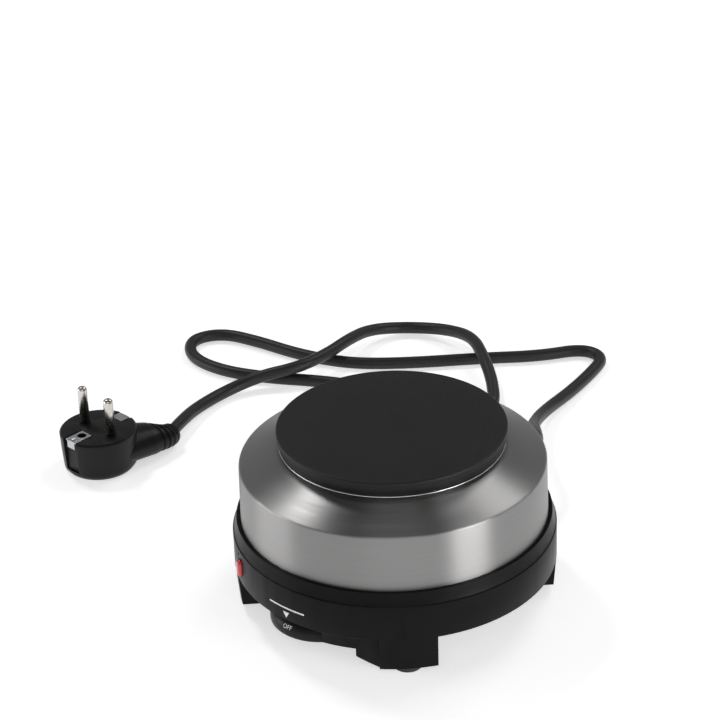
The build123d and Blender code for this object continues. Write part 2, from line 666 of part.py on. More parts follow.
def lamp_carrier():
    """Moulded cup on the base's floor that holds the neon lamp upright."""
    x, y = LAMP_SPOT
    cup = disc(LAMP_R + 1.6, FLOOR_Z, FLOOR_Z + 4, x, y)
    return cup - disc(LAMP_R + SKIN, FLOOR_Z + 1.2, FLOOR_Z + 5, x, y)


def neon_lamp():
    """Small glass neon lamp."""
    x, y = LAMP_SPOT
    glass = disc(LAMP_R, FLOOR_Z + 1.2, FLOOR_Z + 9.5, x, y)
    return glass + Pos(x, y, FLOOR_Z + 9.5) * Sphere(LAMP_R)


def lamp_resistor():
    """Series resistor of the neon lamp with its wires, from the lamp to the moving blade's tab."""
    z = FLOOR_Z + 5.3
    x, y = LAMP_SPOT
    to_lamp = route_solid([(x - LAMP_R - 0.1, y, z), (x - 7, y, z), (-41, -47, z), (-41, -41, z)], 0.5)
    tab_x, tab_z = TAB_X + 1.5, MOVING_Z + 0.2
    to_tab = route_solid([(-41, -35, z), (-41, -29, z), (-37, -26, z + 8.5), (tab_x, -36, tab_z + 1),
                          (tab_x, KNOB_Y + BLADE_W / 2, tab_z)], 0.5)
    return to_lamp + to_tab + bar(1.4, (-41, -41.5, z), (-41, -34.5, z))


def block_link():
    """Brass link between two ways of the terminal block."""
    y, z = BLOCK_Y - 4.5, COVER_TOP + 11.6
    link = block(BLOCK_X - BLOCK_PITCH - 3, BLOCK_X + 3, y - 2.6, y + 2.6, z, z + 0.6)
    for way in (-1, 0):
        link -= disc(1.8, z - 1, z + 1, BLOCK_X + way * BLOCK_PITCH, y)
    return link


# ---------------------------------------------------------------- wiring

def terminal_block():
    """Ceramic three-way terminal block."""
    x0, x1 = BLOCK_X - 12.5, BLOCK_X + 12.5
    body = block(x0, x1, BLOCK_Y - 8, BLOCK_Y + 8, COVER_TOP + 1.6, COVER_TOP + 11.6)
    for way in (-1, 0, 1):
        x = BLOCK_X + way * BLOCK_PITCH
        body -= bar(2.2, (x, BLOCK_Y - 9, COVER_TOP + 6), (x, BLOCK_Y + 9, COVER_TOP + 6))
        for side in (-1, 1):
            body -= disc(2.0, COVER_TOP + 6, COVER_TOP + 13, x, BLOCK_Y + side * 4.5)
    return body


def terminal_sleeves():
    """Brass sleeves in the terminal block."""
    sleeves = []
    for way in (-1, 0, 1):
        x, z = BLOCK_X + way * BLOCK_PITCH, COVER_TOP + 6
        sleeve = bar(2.15, (x, BLOCK_Y - 7, z), (x, BLOCK_Y + 7, z))
        sleeves.append(sleeve - bar(LEAD_R + SKIN, (x, BLOCK_Y - 8, z), (x, BLOCK_Y + 8, z)))
    return group(sleeves)


def terminal_screws():
    """Clamping screws of the terminal block."""
    screws = []
    for way in (-1, 0, 1):
        for side in (-1, 1):
            x, y = BLOCK_X + way * BLOCK_PITCH, BLOCK_Y + side * 4.5
            screws.append(disc(1.7, COVER_TOP + 8.2, COVER_TOP + 11.2, x, y))
    return group(screws)


def thermal_fuse():
    """Thermal fuse, clipped under the shield."""
    return bar(FUSE_R, (-7, FUSE_Y, FUSE_Z), (7, FUSE_Y, FUSE_Z))


def fuse_clip():
    """Sheet clip that holds the thermal fuse to the shield."""
    top = SHIELD_FLOOR_Z - SHIELD_T
    clip = block(-2.5, 2.5, FUSE_Y - 6, FUSE_Y + 6, top - 0.3, top)
    loop = tube(FUSE_R + 0.4, FUSE_R, -2.5, 2.5)
    loop = Pos(0, FUSE_Y, FUSE_Z) * (Rot(0, 90, 0) * loop)
    return clip + (loop & block(-3, 3, FUSE_Y - 3, FUSE_Y + 3, FUSE_Z - 3, top))


def cord_clamp():
    """Bar that holds the cord down on its saddle."""
    half = CLAMP_HALF_W - 0.5
    clamp = block(-half, half, CLAMP_Y - 4, CLAMP_Y + 4, CORD_Z + 0.3, CORD_Z + 4.8)
    clamp -= bar(CORD_R + SKIN, (0, CLAMP_Y - 6, CORD_Z), (0, CLAMP_Y + 6, CORD_Z))
    for side in (-1, 1):
        clamp -= disc(M3_R + 0.2, CORD_Z - 1, CORD_Z + 6, side * CLAMP_SCREW_X, CLAMP_Y)
    return clamp


def clamp_screws():
    """Screws of the cord clamp."""
    spots = (-CLAMP_SCREW_X, CLAMP_SCREW_X)
    return group(screw(M3_R, 2.7, 1.9, 9.3, x, CLAMP_Y, CORD_Z + 4.8) for x in spots)


def cord_tail():
    """The cord from the gland's tip to its end inside the base."""
    return bar(CORD_R, (0, TAIL_Y, CORD_Z), (0, GLAND_TIP_Y, CORD_Z))


OUT_PIN, IN_PIN = element_ends()
LEADS = {
    "live_lead": [(-1.5, TAIL_Y, 26.2), (-1.5, 38, 26.2), (-15, 25, 27), (-29, 8, 28), (-35, -14, 30),
                  (-34, -36, 30), (-31, KNOB_Y, FIXED_Z + 0.2), (TAB_X, KNOB_Y, FIXED_Z + 0.2)],
    "neutral_lead": [(1.5, TAIL_Y, 26.2), (1.5, 41, 26.2), (9, 38.5, 26),
                     (WAY_X, 41, BLOCK_WAY_Z), (WAY_X, BLOCK_Y + 5, BLOCK_WAY_Z)],
    "earth_lead": [(0, TAIL_Y, 28.8), (0, 39, 28.8), (-10, 32, 37), (-22, 29, 49), (EARTH_X, 22, BARREL_Z),
                   (EARTH_X, 10.5, BARREL_Z)],
    "switched_lead": [(TAB_X, KNOB_Y, MOVING_Z + 0.2), (-32, KNOB_Y, MOVING_Z + 0.2), (-37, -34, 38),
                      (-38, -14, 46), (-30, 8, 54), (-20, FUSE_Y, FUSE_Z), (-7.1, FUSE_Y, FUSE_Z)],
    "fuse_lead": [(7.1, FUSE_Y, FUSE_Z), (18, FUSE_Y, FUSE_Z), (27, 22, FUSE_Z - 6),
                  (OUT_PIN[0], OUT_PIN[1] + 3, PIN_END_Z - 10), (*OUT_PIN, PIN_END_Z - 4.5),
                  (*OUT_PIN, PIN_END_Z)],
    "return_lead": [(*IN_PIN, PIN_END_Z), (*IN_PIN, PIN_END_Z - 6), (IN_PIN[0] + 2, IN_PIN[1] - 3, 38),
                    (WAY_X, 11, BLOCK_WAY_Z), (WAY_X, BLOCK_Y - 5, BLOCK_WAY_Z)],
    "lamp_return": [(LAMP_SPOT[0] + LAMP_R + 0.25, LAMP_SPOT[1] + 0.3, 27.2), (-23, -52, 27.2),
                    (-24, -40, 27.2), (-10, -23, 25), (8, -4, 24.5),
                    (BLOCK_X, 8, BLOCK_WAY_Z), (BLOCK_X, BLOCK_Y - 5, BLOCK_WAY_Z)],
}


def lead(name):
    """One insulated lead inside the base."""
    return route_solid(LEADS[name], LEAD_R)


# ---------------------------------------------------------------- cord and plug
def cord_gland():
    """Tapered strain relief with a neck in the wall and a flange on each side."""
    outline = [(GLAND_BORE_R, WALL_IN - 3.4), (GLAND_FLANGE_R, WALL_IN - 3.4),
               (GLAND_FLANGE_R, WALL_IN - 0.7),
               (GLAND_NECK_R, WALL_IN - 0.7), (GLAND_NECK_R, WALL_R + 0.1), (GLAND_ROOT_R, WALL_R + 0.1),
               (GLAND_ROOT_R, WALL_R + 3), (GLAND_TIP_R, GLAND_TIP_Y), (GLAND_BORE_R, GLAND_TIP_Y)]
    return Pos(0, 0, CORD_Z) * (Rot(-90, 0, 0) * turned(outline))


def power_cord():
    """The cord from the gland to the plug."""
    return route_solid(CORD_POINTS, CORD_R)


def plug_place(shape, turn=0.0):
    """Moves a shape from the middle of the plug to where the plug lies."""
    return at(shape, PLUG_X, PLUG_Y, 0, turn)


def relief_end_angle():
    """Direction in which the cord leaves its relief."""
    after, end = CORD_POINTS[-2], CORD_POINTS[-1]
    return degrees(atan2(after[1] - end[1], after[0] - end[0]))


def relief_sections():
    """Centre, direction, half width and half height of each section from the body to the cord."""
    end_x, end_y, end_z = RELIEF_END
    start = polar(5, PLUG_LIMB_A)
    middle = polar(25, PLUG_LIMB_A + 1)
    return [((PLUG_X + start[0], PLUG_Y + start[1], 9.0), PLUG_LIMB_A, 16.4, 8.8),
            ((PLUG_X + middle[0], PLUG_Y + middle[1], 7.7), PLUG_LIMB_A + 10, 10.1, 7.6),
            ((end_x, end_y, end_z), relief_end_angle(), RELIEF_R, RELIEF_R)]


def relief_face(place):
    """An elliptical section square to the relief's direction."""
    (x, y, z), angle, half_w, half_h = place
    plane = Plane(origin=(x, y, z), x_dir=(sin(radians(angle)), -cos(radians(angle)), 0),
                  z_dir=(cos(radians(angle)), sin(radians(angle)), 0))
    return plane * Ellipse(half_w, half_h)


def plug_disc():
    """Round part of the plug, narrower where it lies on the table."""
    outline = [(0, 0), (PLUG_FOOT_R, 0), (PLUG_FOOT_R + 1.6, 2), (PLUG_R - 0.3, 12),
               (PLUG_R, PLUG_FACE_Z - 0.8),
               (PLUG_R - 0.8, PLUG_FACE_Z), (0, PLUG_FACE_Z)]
    return turned(outline)


def plug_body():
    """Moulded body with the two earth slots, the earth socket and the seats of the pins."""
    limb = loft([relief_face(place) for place in relief_sections()[:2]])
    shape = plug_place(plug_disc()) + limb
    shape -= plug_place(earth_hollows(), PLUG_PIN_A)
    for side in (-1, 1):
        seat = disc(PLUG_ROOT_R, PLUG_FACE_Z - PLUG_ROOT_L, PLUG_FACE_Z + 1, side * PLUG_PIN_GAP / 2)
        shape -= plug_place(seat, PLUG_PIN_A)
    return shape


def earth_hollows():
    """Slots of the earth strips at both sides and the round earth socket."""
    slot = block(-4.5, 4.5, PLUG_R - 2.2, PLUG_R + 3, 3.5, PLUG_FACE_Z + 1)
    near = Rot(0, 0, 180) * slot
    seat = block(-4.5, 4.5, -PLUG_R - 1, -6.6, PLUG_FACE_Z - 0.8, PLUG_FACE_Z + 1)
    far = block(-4.5, 4.5, 11.5, PLUG_R + 1, PLUG_FACE_Z - 0.8, PLUG_FACE_Z + 1)
    hole = disc(2.3, PLUG_FACE_Z - 14, PLUG_FACE_Z + 1, 0, -PLUG_HOLE_OFF)
    high = block(-4.5, 4.5, PLUG_R - 2.2, PLUG_R + 3, 15.5, PLUG_FACE_Z + 1)
    return near + high + seat + far + hole


def plug_earth_clips():
    """Sheet strips: one with the earth socket, one across from it."""
    near = block(-3.6, 3.6, -PLUG_R + 1.5, -6.9, PLUG_FACE_Z - 0.8, PLUG_FACE_Z - 0.1)
    near += block(-2.6, 2.6, -PLUG_R + 1.4, -PLUG_R + 2.2, 15.8, PLUG_FACE_Z - 0.1)
    near -= disc(2.3, 0, PLUG_FACE_Z + 1, 0, -PLUG_HOLE_OFF)
    far = block(-3.6, 3.6, 11.8, PLUG_R - 1.5, PLUG_FACE_Z - 0.8, PLUG_FACE_Z - 0.1)
    far += block(-2.6, 2.6, PLUG_R - 2.2, PLUG_R - 1.4, 15.8, PLUG_FACE_Z - 0.1)
    return group([plug_place(near, PLUG_PIN_A), plug_place(far, PLUG_PIN_A)])


def plug_pins():
    """Two round pins with domed ends."""
    pins = []
    for side in (-1, 1):
        x, top = side * PLUG_PIN_GAP / 2, PLUG_FACE_Z + PLUG_PIN_L
        pin = disc(PLUG_PIN_R, PLUG_FACE_Z, top, x)
        pin = fillet(pin.edges().group_by(Axis.Z)[-1], PLUG_PIN_R * 0.75)
        pin += disc(PLUG_ROOT_R, PLUG_FACE_Z - PLUG_ROOT_L, PLUG_FACE_Z, x)
        pins.append(plug_place(pin, PLUG_PIN_A))
    return group(pins)


def plug_relief():
    """Flexible relief between the plug's body and the cord."""
    return loft([relief_face(place) for place in relief_sections()[1:]])


NODES = {
    "hot_plate": hot_plate, "trim_ring": trim_ring, "heating_coil": heating_coil,
    "coil_filler": coil_filler, "wool_ring": wool_ring, "heat_shield": heat_shield,
    "pin_beads": pin_beads, "plate_stud": plate_stud, "stud_washers": stud_washers,
    "stud_nuts": stud_nuts, "clamp_bridge": clamp_bridge, "bridge_screws": bridge_screws,
    "earth_tag": earth_tag, "earth_screw": earth_screw, "steel_shell": steel_shell,
    "base_housing": base_housing, "foot_pads": foot_pads, "bottom_cover": bottom_cover,
    "cover_screws": cover_screws, "wall_marks": wall_marks, "control_knob": control_knob,
    "knob_marks": knob_marks, "thermostat_shaft": thermostat_shaft, "push_pin": push_pin,
    "thermostat_bracket": thermostat_bracket, "thermostat_bush": thermostat_bush,
    "bracket_screws": bracket_screws, "stack_insulators": stack_insulators,
    "stack_rivet": stack_rivet, "fixed_contact_blade": fixed_contact_blade,
    "blade_tab": blade_tab, "moving_contact_blade": moving_contact_blade,
    "bimetal_strip": bimetal_strip, "indicator_lens": indicator_lens,
    "lamp_carrier": lamp_carrier, "neon_lamp": neon_lamp, "lamp_resistor": lamp_resistor,
    "terminal_block": terminal_block, "terminal_sleeves": terminal_sleeves,
    "terminal_screws": terminal_screws, "block_link": block_link,
    "thermal_fuse": thermal_fuse, "fuse_clip": fuse_clip,
    "cord_clamp": cord_clamp, "clamp_screws": clamp_screws, "cord_tail": cord_tail,
    "cord_gland": cord_gland, "power_cord": power_cord, "plug_body": plug_body,
    "plug_earth_clips": plug_earth_clips, "plug_pins": plug_pins, "plug_relief": plug_relief,
}


def main():
    """Builds every node and writes one STEP file each."""
    os.makedirs("parts", exist_ok=True)
    for name, make in NODES.items():
        export_step(make(), f"parts/{name}.step")
    for name in LEADS:
        export_step(lead(name), f"parts/{name}.step")
    path = FilletPolyline(*CORD_POINTS, radius=arc_radii(CORD_POINTS))
    volume = power_cord().volume / (pi * CORD_R ** 2 * path.length)
    print("cord length", round(path.length, 1), "volume ratio", round(volume, 4))
    print("cord radii", [round(radius, 1) for radius in arc_radii(CORD_POINTS)])


main()
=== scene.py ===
"""Small electric hot plate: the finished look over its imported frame.

Lengths are in metres, +Z is up, and the origin is on the surface that the hot plate stands on.
The knob is at the front (-Y) and the cord leaves at the back (+Y).
"""
import logging
import math
from dataclasses import dataclass, field
from enum import Enum
from typing import Any, Iterable, Sequence

import bmesh
import bpy
import numpy as np
from mathutils import Matrix, Vector


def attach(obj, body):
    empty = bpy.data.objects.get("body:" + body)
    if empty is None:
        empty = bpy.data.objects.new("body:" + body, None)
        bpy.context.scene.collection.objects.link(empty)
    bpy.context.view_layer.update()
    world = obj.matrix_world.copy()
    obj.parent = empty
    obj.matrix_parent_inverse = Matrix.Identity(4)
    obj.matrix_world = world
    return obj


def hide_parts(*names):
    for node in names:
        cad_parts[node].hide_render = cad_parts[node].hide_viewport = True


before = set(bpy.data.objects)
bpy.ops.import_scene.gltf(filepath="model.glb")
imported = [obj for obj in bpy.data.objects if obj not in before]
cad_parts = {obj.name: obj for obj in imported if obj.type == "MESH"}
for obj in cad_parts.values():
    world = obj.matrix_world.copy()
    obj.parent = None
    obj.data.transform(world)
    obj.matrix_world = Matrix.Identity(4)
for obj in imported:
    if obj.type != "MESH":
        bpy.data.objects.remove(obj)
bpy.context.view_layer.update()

LOG = logging.getLogger("hot_plate")
MM = 0.001

Colour = tuple[float, float, float]
Point = tuple[float, float, float]


class Body(Enum):
    """The bodies that a piece can ride on."""

    BURNER = "burner"
    KNOB = "knob"
    CONTACT = "contact"


class Slot(Enum):
    """The record's material slots."""

    CAST_PLATE = "cast_plate"
    SHELL_STEEL = "shell_steel"
    BASE_BLACK = "base_black"
    KNOB_BLACK = "knob_black"
    PAD_RUBBER = "pad_rubber"
    PRINT_WHITE = "print_white"
    LENS_RED = "lens_red"
    BRIGHT_STEEL = "bright_steel"
    ZINC_STEEL = "zinc_steel"
    ELEMENT_METAL = "element_metal"
    CERAMIC_WHITE = "ceramic_white"
    FILLER_GREY = "filler_grey"
    WOOL_WHITE = "wool_white"
    BRASS_PARTS = "brass_parts"
    LAMP_GLASS = "lamp_glass"
    CORD_BLACK = "cord_black"
    PLUG_BLACK = "plug_black"
    PIN_NICKEL = "pin_nickel"
    LEAD_BROWN = "lead_brown"
    LEAD_BLUE = "lead_blue"
    LEAD_GREEN = "lead_green"


# ---------------------------------------------------------------- shader maths
class Wire:
    """A socket that takes part in Python expressions; each operation adds one Math node."""

    def __init__(self, graph: "Graph", socket: bpy.types.NodeSocket) -> None:
        """Wraps a socket of a graph."""
        self.graph = graph
        self.socket = socket

    def math(self, operation: str, *values: Any) -> "Wire":
        """Adds a Math node.

        Args:
            operation: the node's operation.
            values: its inputs in order, wires or numbers.

        Returns:
            The node's result.
        """
        node = self.graph.node("ShaderNodeMath", {"operation": operation}, dict(enumerate(values)))
        return Wire(self.graph, node.outputs[0])

    def __add__(self, other: Any) -> "Wire":
        """This plus other."""
        return self.math("ADD", self, other)

    def __radd__(self, other: Any) -> "Wire":
        """Other plus this."""
        return self.math("ADD", other, self)

    def __sub__(self, other: Any) -> "Wire":
        """This less other."""
        return self.math("SUBTRACT", self, other)

    def __rsub__(self, other: Any) -> "Wire":
        """Other less this."""
        return self.math("SUBTRACT", other, self)

    def __mul__(self, other: Any) -> "Wire":
        """This times other."""
        return self.math("MULTIPLY", self, other)

    def __rmul__(self, other: Any) -> "Wire":
        """Other times this."""
        return self.math("MULTIPLY", other, self)

    def __truediv__(self, other: Any) -> "Wire":
        """This over other."""
        return self.math("DIVIDE", self, other)

    def __pow__(self, other: Any) -> "Wire":
        """This to the power of other."""
        return self.math("POWER", self, other)

    def sine(self) -> "Wire":
        """The sine of this."""
        return self.math("SINE", self)

    def ramp(self, low: float, high: float) -> "Wire":
        """0 below low, 1 above high and smooth between them."""
        node = self.graph.node("ShaderNodeMapRange", {"interpolation_type": "SMOOTHSTEP"},
                               {"Value": self, "From Min": low, "From Max": high})
        return Wire(self.graph, node.outputs[0])


class Graph:
    """The node tree of one material or of the world."""

    def __init__(self, owner: Any) -> None:
        """Clears the owner's tree and takes it over."""
        owner.use_nodes = True
        self.tree = owner.node_tree
        self.tree.nodes.clear()

    def node(self, kind: str, settings: dict[str, Any] | None = None,
             sockets: dict[Any, Any] | None = None) -> bpy.types.Node:
        """Adds a node.

        Args:
            kind: the node's type.
            settings: its properties, set first.
            sockets: values or wires by the name or number of the input.

        Returns:
            The new node.
        """
        made = self.tree.nodes.new(kind)
        for key, value in (settings or {}).items():
            setattr(made, key, value)
        for key, value in (sockets or {}).items():
            if isinstance(value, Wire):
                self.tree.links.new(value.socket, made.inputs[key])
            else:
                made.inputs[key].default_value = value
        return made

    def wire(self, kind: str, settings: dict[str, Any] | None = None,
             sockets: dict[Any, Any] | None = None, output: Any = 0) -> Wire:
        """Adds a node and returns one of its outputs, by name or number."""
        return Wire(self, self.node(kind, settings, sockets).outputs[output])

    def place(self) -> Wire:
        """Object coordinates, which are the row frame in metres."""
        return self.wire("ShaderNodeTexCoord", output="Object")

    def axes(self, centre: Point = (0, 0, 0)) -> tuple[Wire, Wire, Wire]:
        """X, Y and Z of the place, measured from a centre."""
        moved = self.wire("ShaderNodeVectorMath", {"operation": "SUBTRACT"}, {0: self.place(), 1: centre})
        split = self.node("ShaderNodeSeparateXYZ", sockets={0: moved})
        return tuple(Wire(self, split.outputs[i]) for i in range(3))

    def noise(self, size: float, detail: float = 2.0, vector: Wire | None = None) -> Wire:
        """Noise from 0 to 1 whose blotches are about size metres across."""
        return self.wire("ShaderNodeTexNoise", None,
                         {"Vector": vector or self.place(), "Scale": 1.0 / size, "Detail": detail})

    def blend(self, share: Any, low: Colour, high: Colour) -> Wire:
        """A colour between two, by share."""
        return self.wire("ShaderNodeMix", {"data_type": "RGBA"},
                         {0: share, 6: (*low, 1.0), 7: (*high, 1.0)}, 2)

    def bump(self, height: Wire, depth: float, strength: float = 1.0) -> Wire:
        """A normal from a height of 0 to 1 that stands for depth metres."""
        return self.wire("ShaderNodeBump", None,
                         {"Height": height, "Distance": depth, "Strength": strength})

    def surface(self, **values: Any) -> None:
        """Ends a material with a Principled shader; underscores stand for spaces in its sockets."""
        named = {key.replace("_", " "): value for key, value in values.items()}
        shader = self.node("ShaderNodeBsdfPrincipled", None, named)
        self.node("ShaderNodeOutputMaterial", None, {"Surface": Wire(self, shader.outputs[0])})


# ---------------------------------------------------------------- finishes
@dataclass(frozen=True)
class Finish:
    """A finish; each kind fills in its own nodes."""

    name: str

    def nodes(self, graph: Graph) -> None:
        """Adds the nodes of the finish to a graph."""
        raise NotImplementedError

    def material(self) -> bpy.types.Material:
        """The material, made at its first use."""
        made = bpy.data.materials.get(self.name)
        if made is None:
            made = bpy.data.materials.new(self.name)
            self.nodes(Graph(made))
        return made


@dataclass(frozen=True)
class CastEnamel(Finish):
    """Heat-proof black over a turned casting: rings round the axis and a fine cast grain."""

    pitch: float = 1.3 * MM
    dark: Colour = (0.0045, 0.0043, 0.0045)
    light: Colour = (0.0125, 0.0118, 0.0120)

    def nodes(self, graph: Graph) -> None:
        """Rings are a sine of the distance from the axis, broken up by noise."""
        x, y, _ = graph.axes()
        radius = (x * x + y * y) ** 0.5
        cloud = graph.noise(0.016, 3.0)
        grain = graph.noise(0.0005, 4.0)
        rings = (radius * (2 * math.pi / self.pitch) + cloud * 1.5).sine() * 0.5 + 0.5
        height = rings * 0.35 + grain * 0.65
        graph.surface(
            Base_Color=graph.blend(cloud * 0.7 + rings * 0.3, self.dark, self.light),
            Roughness=0.34 + grain * 0.14 + cloud * 0.10,
            Normal=graph.bump(height, 0.09 * MM, 0.75),
            Specular_IOR_Level=0.26,
        )


@dataclass(frozen=True)
class RimRing(Finish):
    """The ring under the plate: a bright steel edge over a web painted black as the shade under the plate.
    """

    edge_z: float = 75.1 * MM
    bright: Colour = (0.75, 0.75, 0.76)
    painted_shade_black: Colour = (0.014, 0.013, 0.013)

    def nodes(self, graph: Graph) -> None:
        """The colour changes from the web's painted shade black to the edge's steel over a tenth of a
        millimetre of height.
        """
        _, _, z = graph.axes()
        soot = graph.noise(0.004, 3.0)
        # painted shade: below edge_z the web is painted near black and made mostly non-metallic, standing
        # for the shadow under the plate's overhang
        edge = z.ramp(self.edge_z - 0.1 * MM, self.edge_z)
        graph.surface(
            Base_Color=graph.blend(edge * (1.0 - soot * 0.35), self.painted_shade_black, self.bright),
            Metallic=0.2 + edge * 0.8,
            Roughness=0.42 - edge * 0.24 + soot * 0.1,
            Normal=graph.bump(soot, 0.01 * MM, 0.4),
            Specular_IOR_Level=0.3,
        )


@dataclass(frozen=True)
class BrushedSteel(Finish):
    """Stainless sheet brushed round the axis."""

    colour: Colour = (0.35, 0.345, 0.343)
    darker: Colour = (0.27, 0.266, 0.264)
    roughness: float = 0.36
    anisotropic: float = 0.94

    def nodes(self, graph: Graph) -> None:
        """Streaks are noise that changes fast with radius and height and slowly round the axis."""
        x, y, z = graph.axes()
        radius = (x * x + y * y) ** 0.5
        around = graph.node("ShaderNodeCombineXYZ", None, {0: x / radius * 1.6, 1: y / radius * 1.6,
                                                           2: (radius + z * 1.7) * 2600})
        streak = graph.noise(1.0, 2.0, Wire(graph, around.outputs[0]))
        broad = graph.node("ShaderNodeCombineXYZ", None, {0: x / radius * 1.1, 1: y / radius * 1.1,
                                                          2: (radius + z * 1.7) * 420})
        band = graph.noise(1.0, 1.0, Wire(graph, broad.outputs[0]))
        graph.surface(
            Base_Color=graph.blend(streak * 0.6 + band * 0.4, self.darker, self.colour),
            Metallic=1.0,
            Roughness=self.roughness - 0.05 + streak * 0.12 + band * 0.05,
            Normal=graph.bump(streak * 0.8 + band * 0.2, 0.006 * MM, 0.5),
            Anisotropic=self.anisotropic,
            Anisotropic_Rotation=0.25,
        )


@dataclass(frozen=True)
class Moulded(Finish):
    """Moulded plastic, rubber or PVC with a fine grain."""

    dark: Colour = (0.0055, 0.0053, 0.0055)
    light: Colour = (0.0110, 0.0105, 0.0108)
    roughness: float = 0.42
    uneven: float = 0.10
    grain: float = 0.35 * MM
    depth: float = 0.02 * MM
    specular: float = 0.22

    def nodes(self, graph: Graph) -> None:
        """Grain is fine noise; gloss and colour change over broader blotches."""
        grain = graph.noise(self.grain, 3.0)
        cloud = graph.noise(0.012, 3.0)
        graph.surface(
            Base_Color=graph.blend(cloud * 0.7 + grain * 0.3, self.dark, self.light),
            Roughness=self.roughness + (cloud - 0.5) * self.uneven + (grain - 0.5) * 0.08,
            Normal=graph.bump(grain, self.depth, 0.6),
            Specular_IOR_Level=self.specular,
        )


@dataclass(frozen=True)
class Metal(Finish):
    """Plated, rolled or oxidised metal."""

    colour: Colour = (0.62, 0.62, 0.62)
    darker: Colour = (0.48, 0.48, 0.49)
    roughness: float = 0.28
    uneven: float = 0.16
    crystal: float = 1.6 * MM

    def nodes(self, graph: Graph) -> None:
        """Cells give the plating's spangle, and noise its dull spots and fine scratches."""
        spangle = graph.wire("ShaderNodeTexVoronoi", None,
                             {"Vector": graph.place(), "Scale": 1.0 / self.crystal}, "Color")
        tone = graph.wire("ShaderNodeSeparateColor", None, {0: spangle})
        dull = graph.noise(0.006, 4.0)
        fine = graph.noise(0.0004, 2.0)
        graph.surface(
            Base_Color=graph.blend(tone * 0.35 + dull * 0.65, self.darker, self.colour),
            Metallic=1.0,
            Roughness=self.roughness + (dull - 0.5) * self.uneven + fine * 0.05,
            Normal=graph.bump(fine, 0.008 * MM, 0.5),
        )


@dataclass(frozen=True)
class Mineral(Finish):
    """Ceramic, dry compound or fibre board."""

    colour: Colour = (0.78, 0.76, 0.70)
    darker: Colour = (0.62, 0.60, 0.54)
    roughness: float = 0.35
    grain: float = 0.6 * MM
    depth: float = 0.03 * MM
    coat: float = 0.0

    def nodes(self, graph: Graph) -> None:
        """Pores are the low parts of a fine noise."""
        fine = graph.noise(self.grain, 5.0)
        cloud = graph.noise(0.008, 2.0)
        pores = fine.ramp(0.30, 0.52)
        graph.surface(
            Base_Color=graph.blend(pores * 0.6 + cloud * 0.4, self.darker, self.colour),
            Roughness=self.roughness + (1.0 - pores) * 0.25,
            Normal=graph.bump(pores, self.depth, 0.7),
            Coat_Weight=self.coat,
        )


@dataclass(frozen=True)
class RedLens(Finish):
    """Glossy red lens with a little depth and painted light in its middle."""

    centre: Point = (-0.0362, -0.0627, 0.027)
    deep: Colour = (0.30, 0.003, 0.006)
    bright: Colour = (0.80, 0.030, 0.035)

    def nodes(self, graph: Graph) -> None:
        """The colour is painted brighter near the middle, as if lit by the lamp behind it, with faint
        streaks.
        """
        x, y, z = graph.axes(self.centre)
        away = (x * x + y * y + z * z * 0.5) ** 0.5
        # painted light: the red is lighter towards the lens's middle, standing for light from the lamp
        # behind it
        painted_glow = 1.0 - away.ramp(0.0008, 0.0046)
        cloud = graph.noise(0.0012, 2.0)
        graph.surface(
            Base_Color=graph.blend(painted_glow * 0.8 + cloud * 0.2, self.deep, self.bright),
            Roughness=0.10 + cloud * 0.06,
            Normal=graph.bump(cloud, 0.015 * MM, 0.4),
            Specular_IOR_Level=0.7,
            Coat_Weight=0.6,
            Coat_Roughness=0.05,
        )


@dataclass(frozen=True)
class Glass(Finish):
    """Clear lamp glass, a little amber."""

    def nodes(self, graph: Graph) -> None:
        """Clear, with faint waves in the glass."""
        wave = graph.noise(0.0015, 1.0)
        graph.surface(
            Base_Color=graph.blend(wave, (0.95, 0.80, 0.68), (1.0, 0.90, 0.80)),
            Roughness=0.03 + wave * 0.05,
            Normal=graph.bump(wave, 0.01 * MM, 0.4),
            Transmission_Weight=0.85,
            IOR=1.46,
        )


@dataclass(frozen=True)
class Print(Finish):
    """Printed ink, thin in places."""

    full: Colour = (0.78, 0.78, 0.77)
    thin: Colour = (0.45, 0.45, 0.45)

    def nodes(self, graph: Graph) -> None:
        """The ink thins where a fine noise is high."""
        patch = graph.noise(0.0007, 3.0)
        graph.surface(
            Base_Color=graph.blend(patch.ramp(0.52, 0.78), self.full, self.thin),
            Roughness=0.45 + patch * 0.2,
            Normal=graph.bump(patch, 0.01 * MM, 0.5),
        )


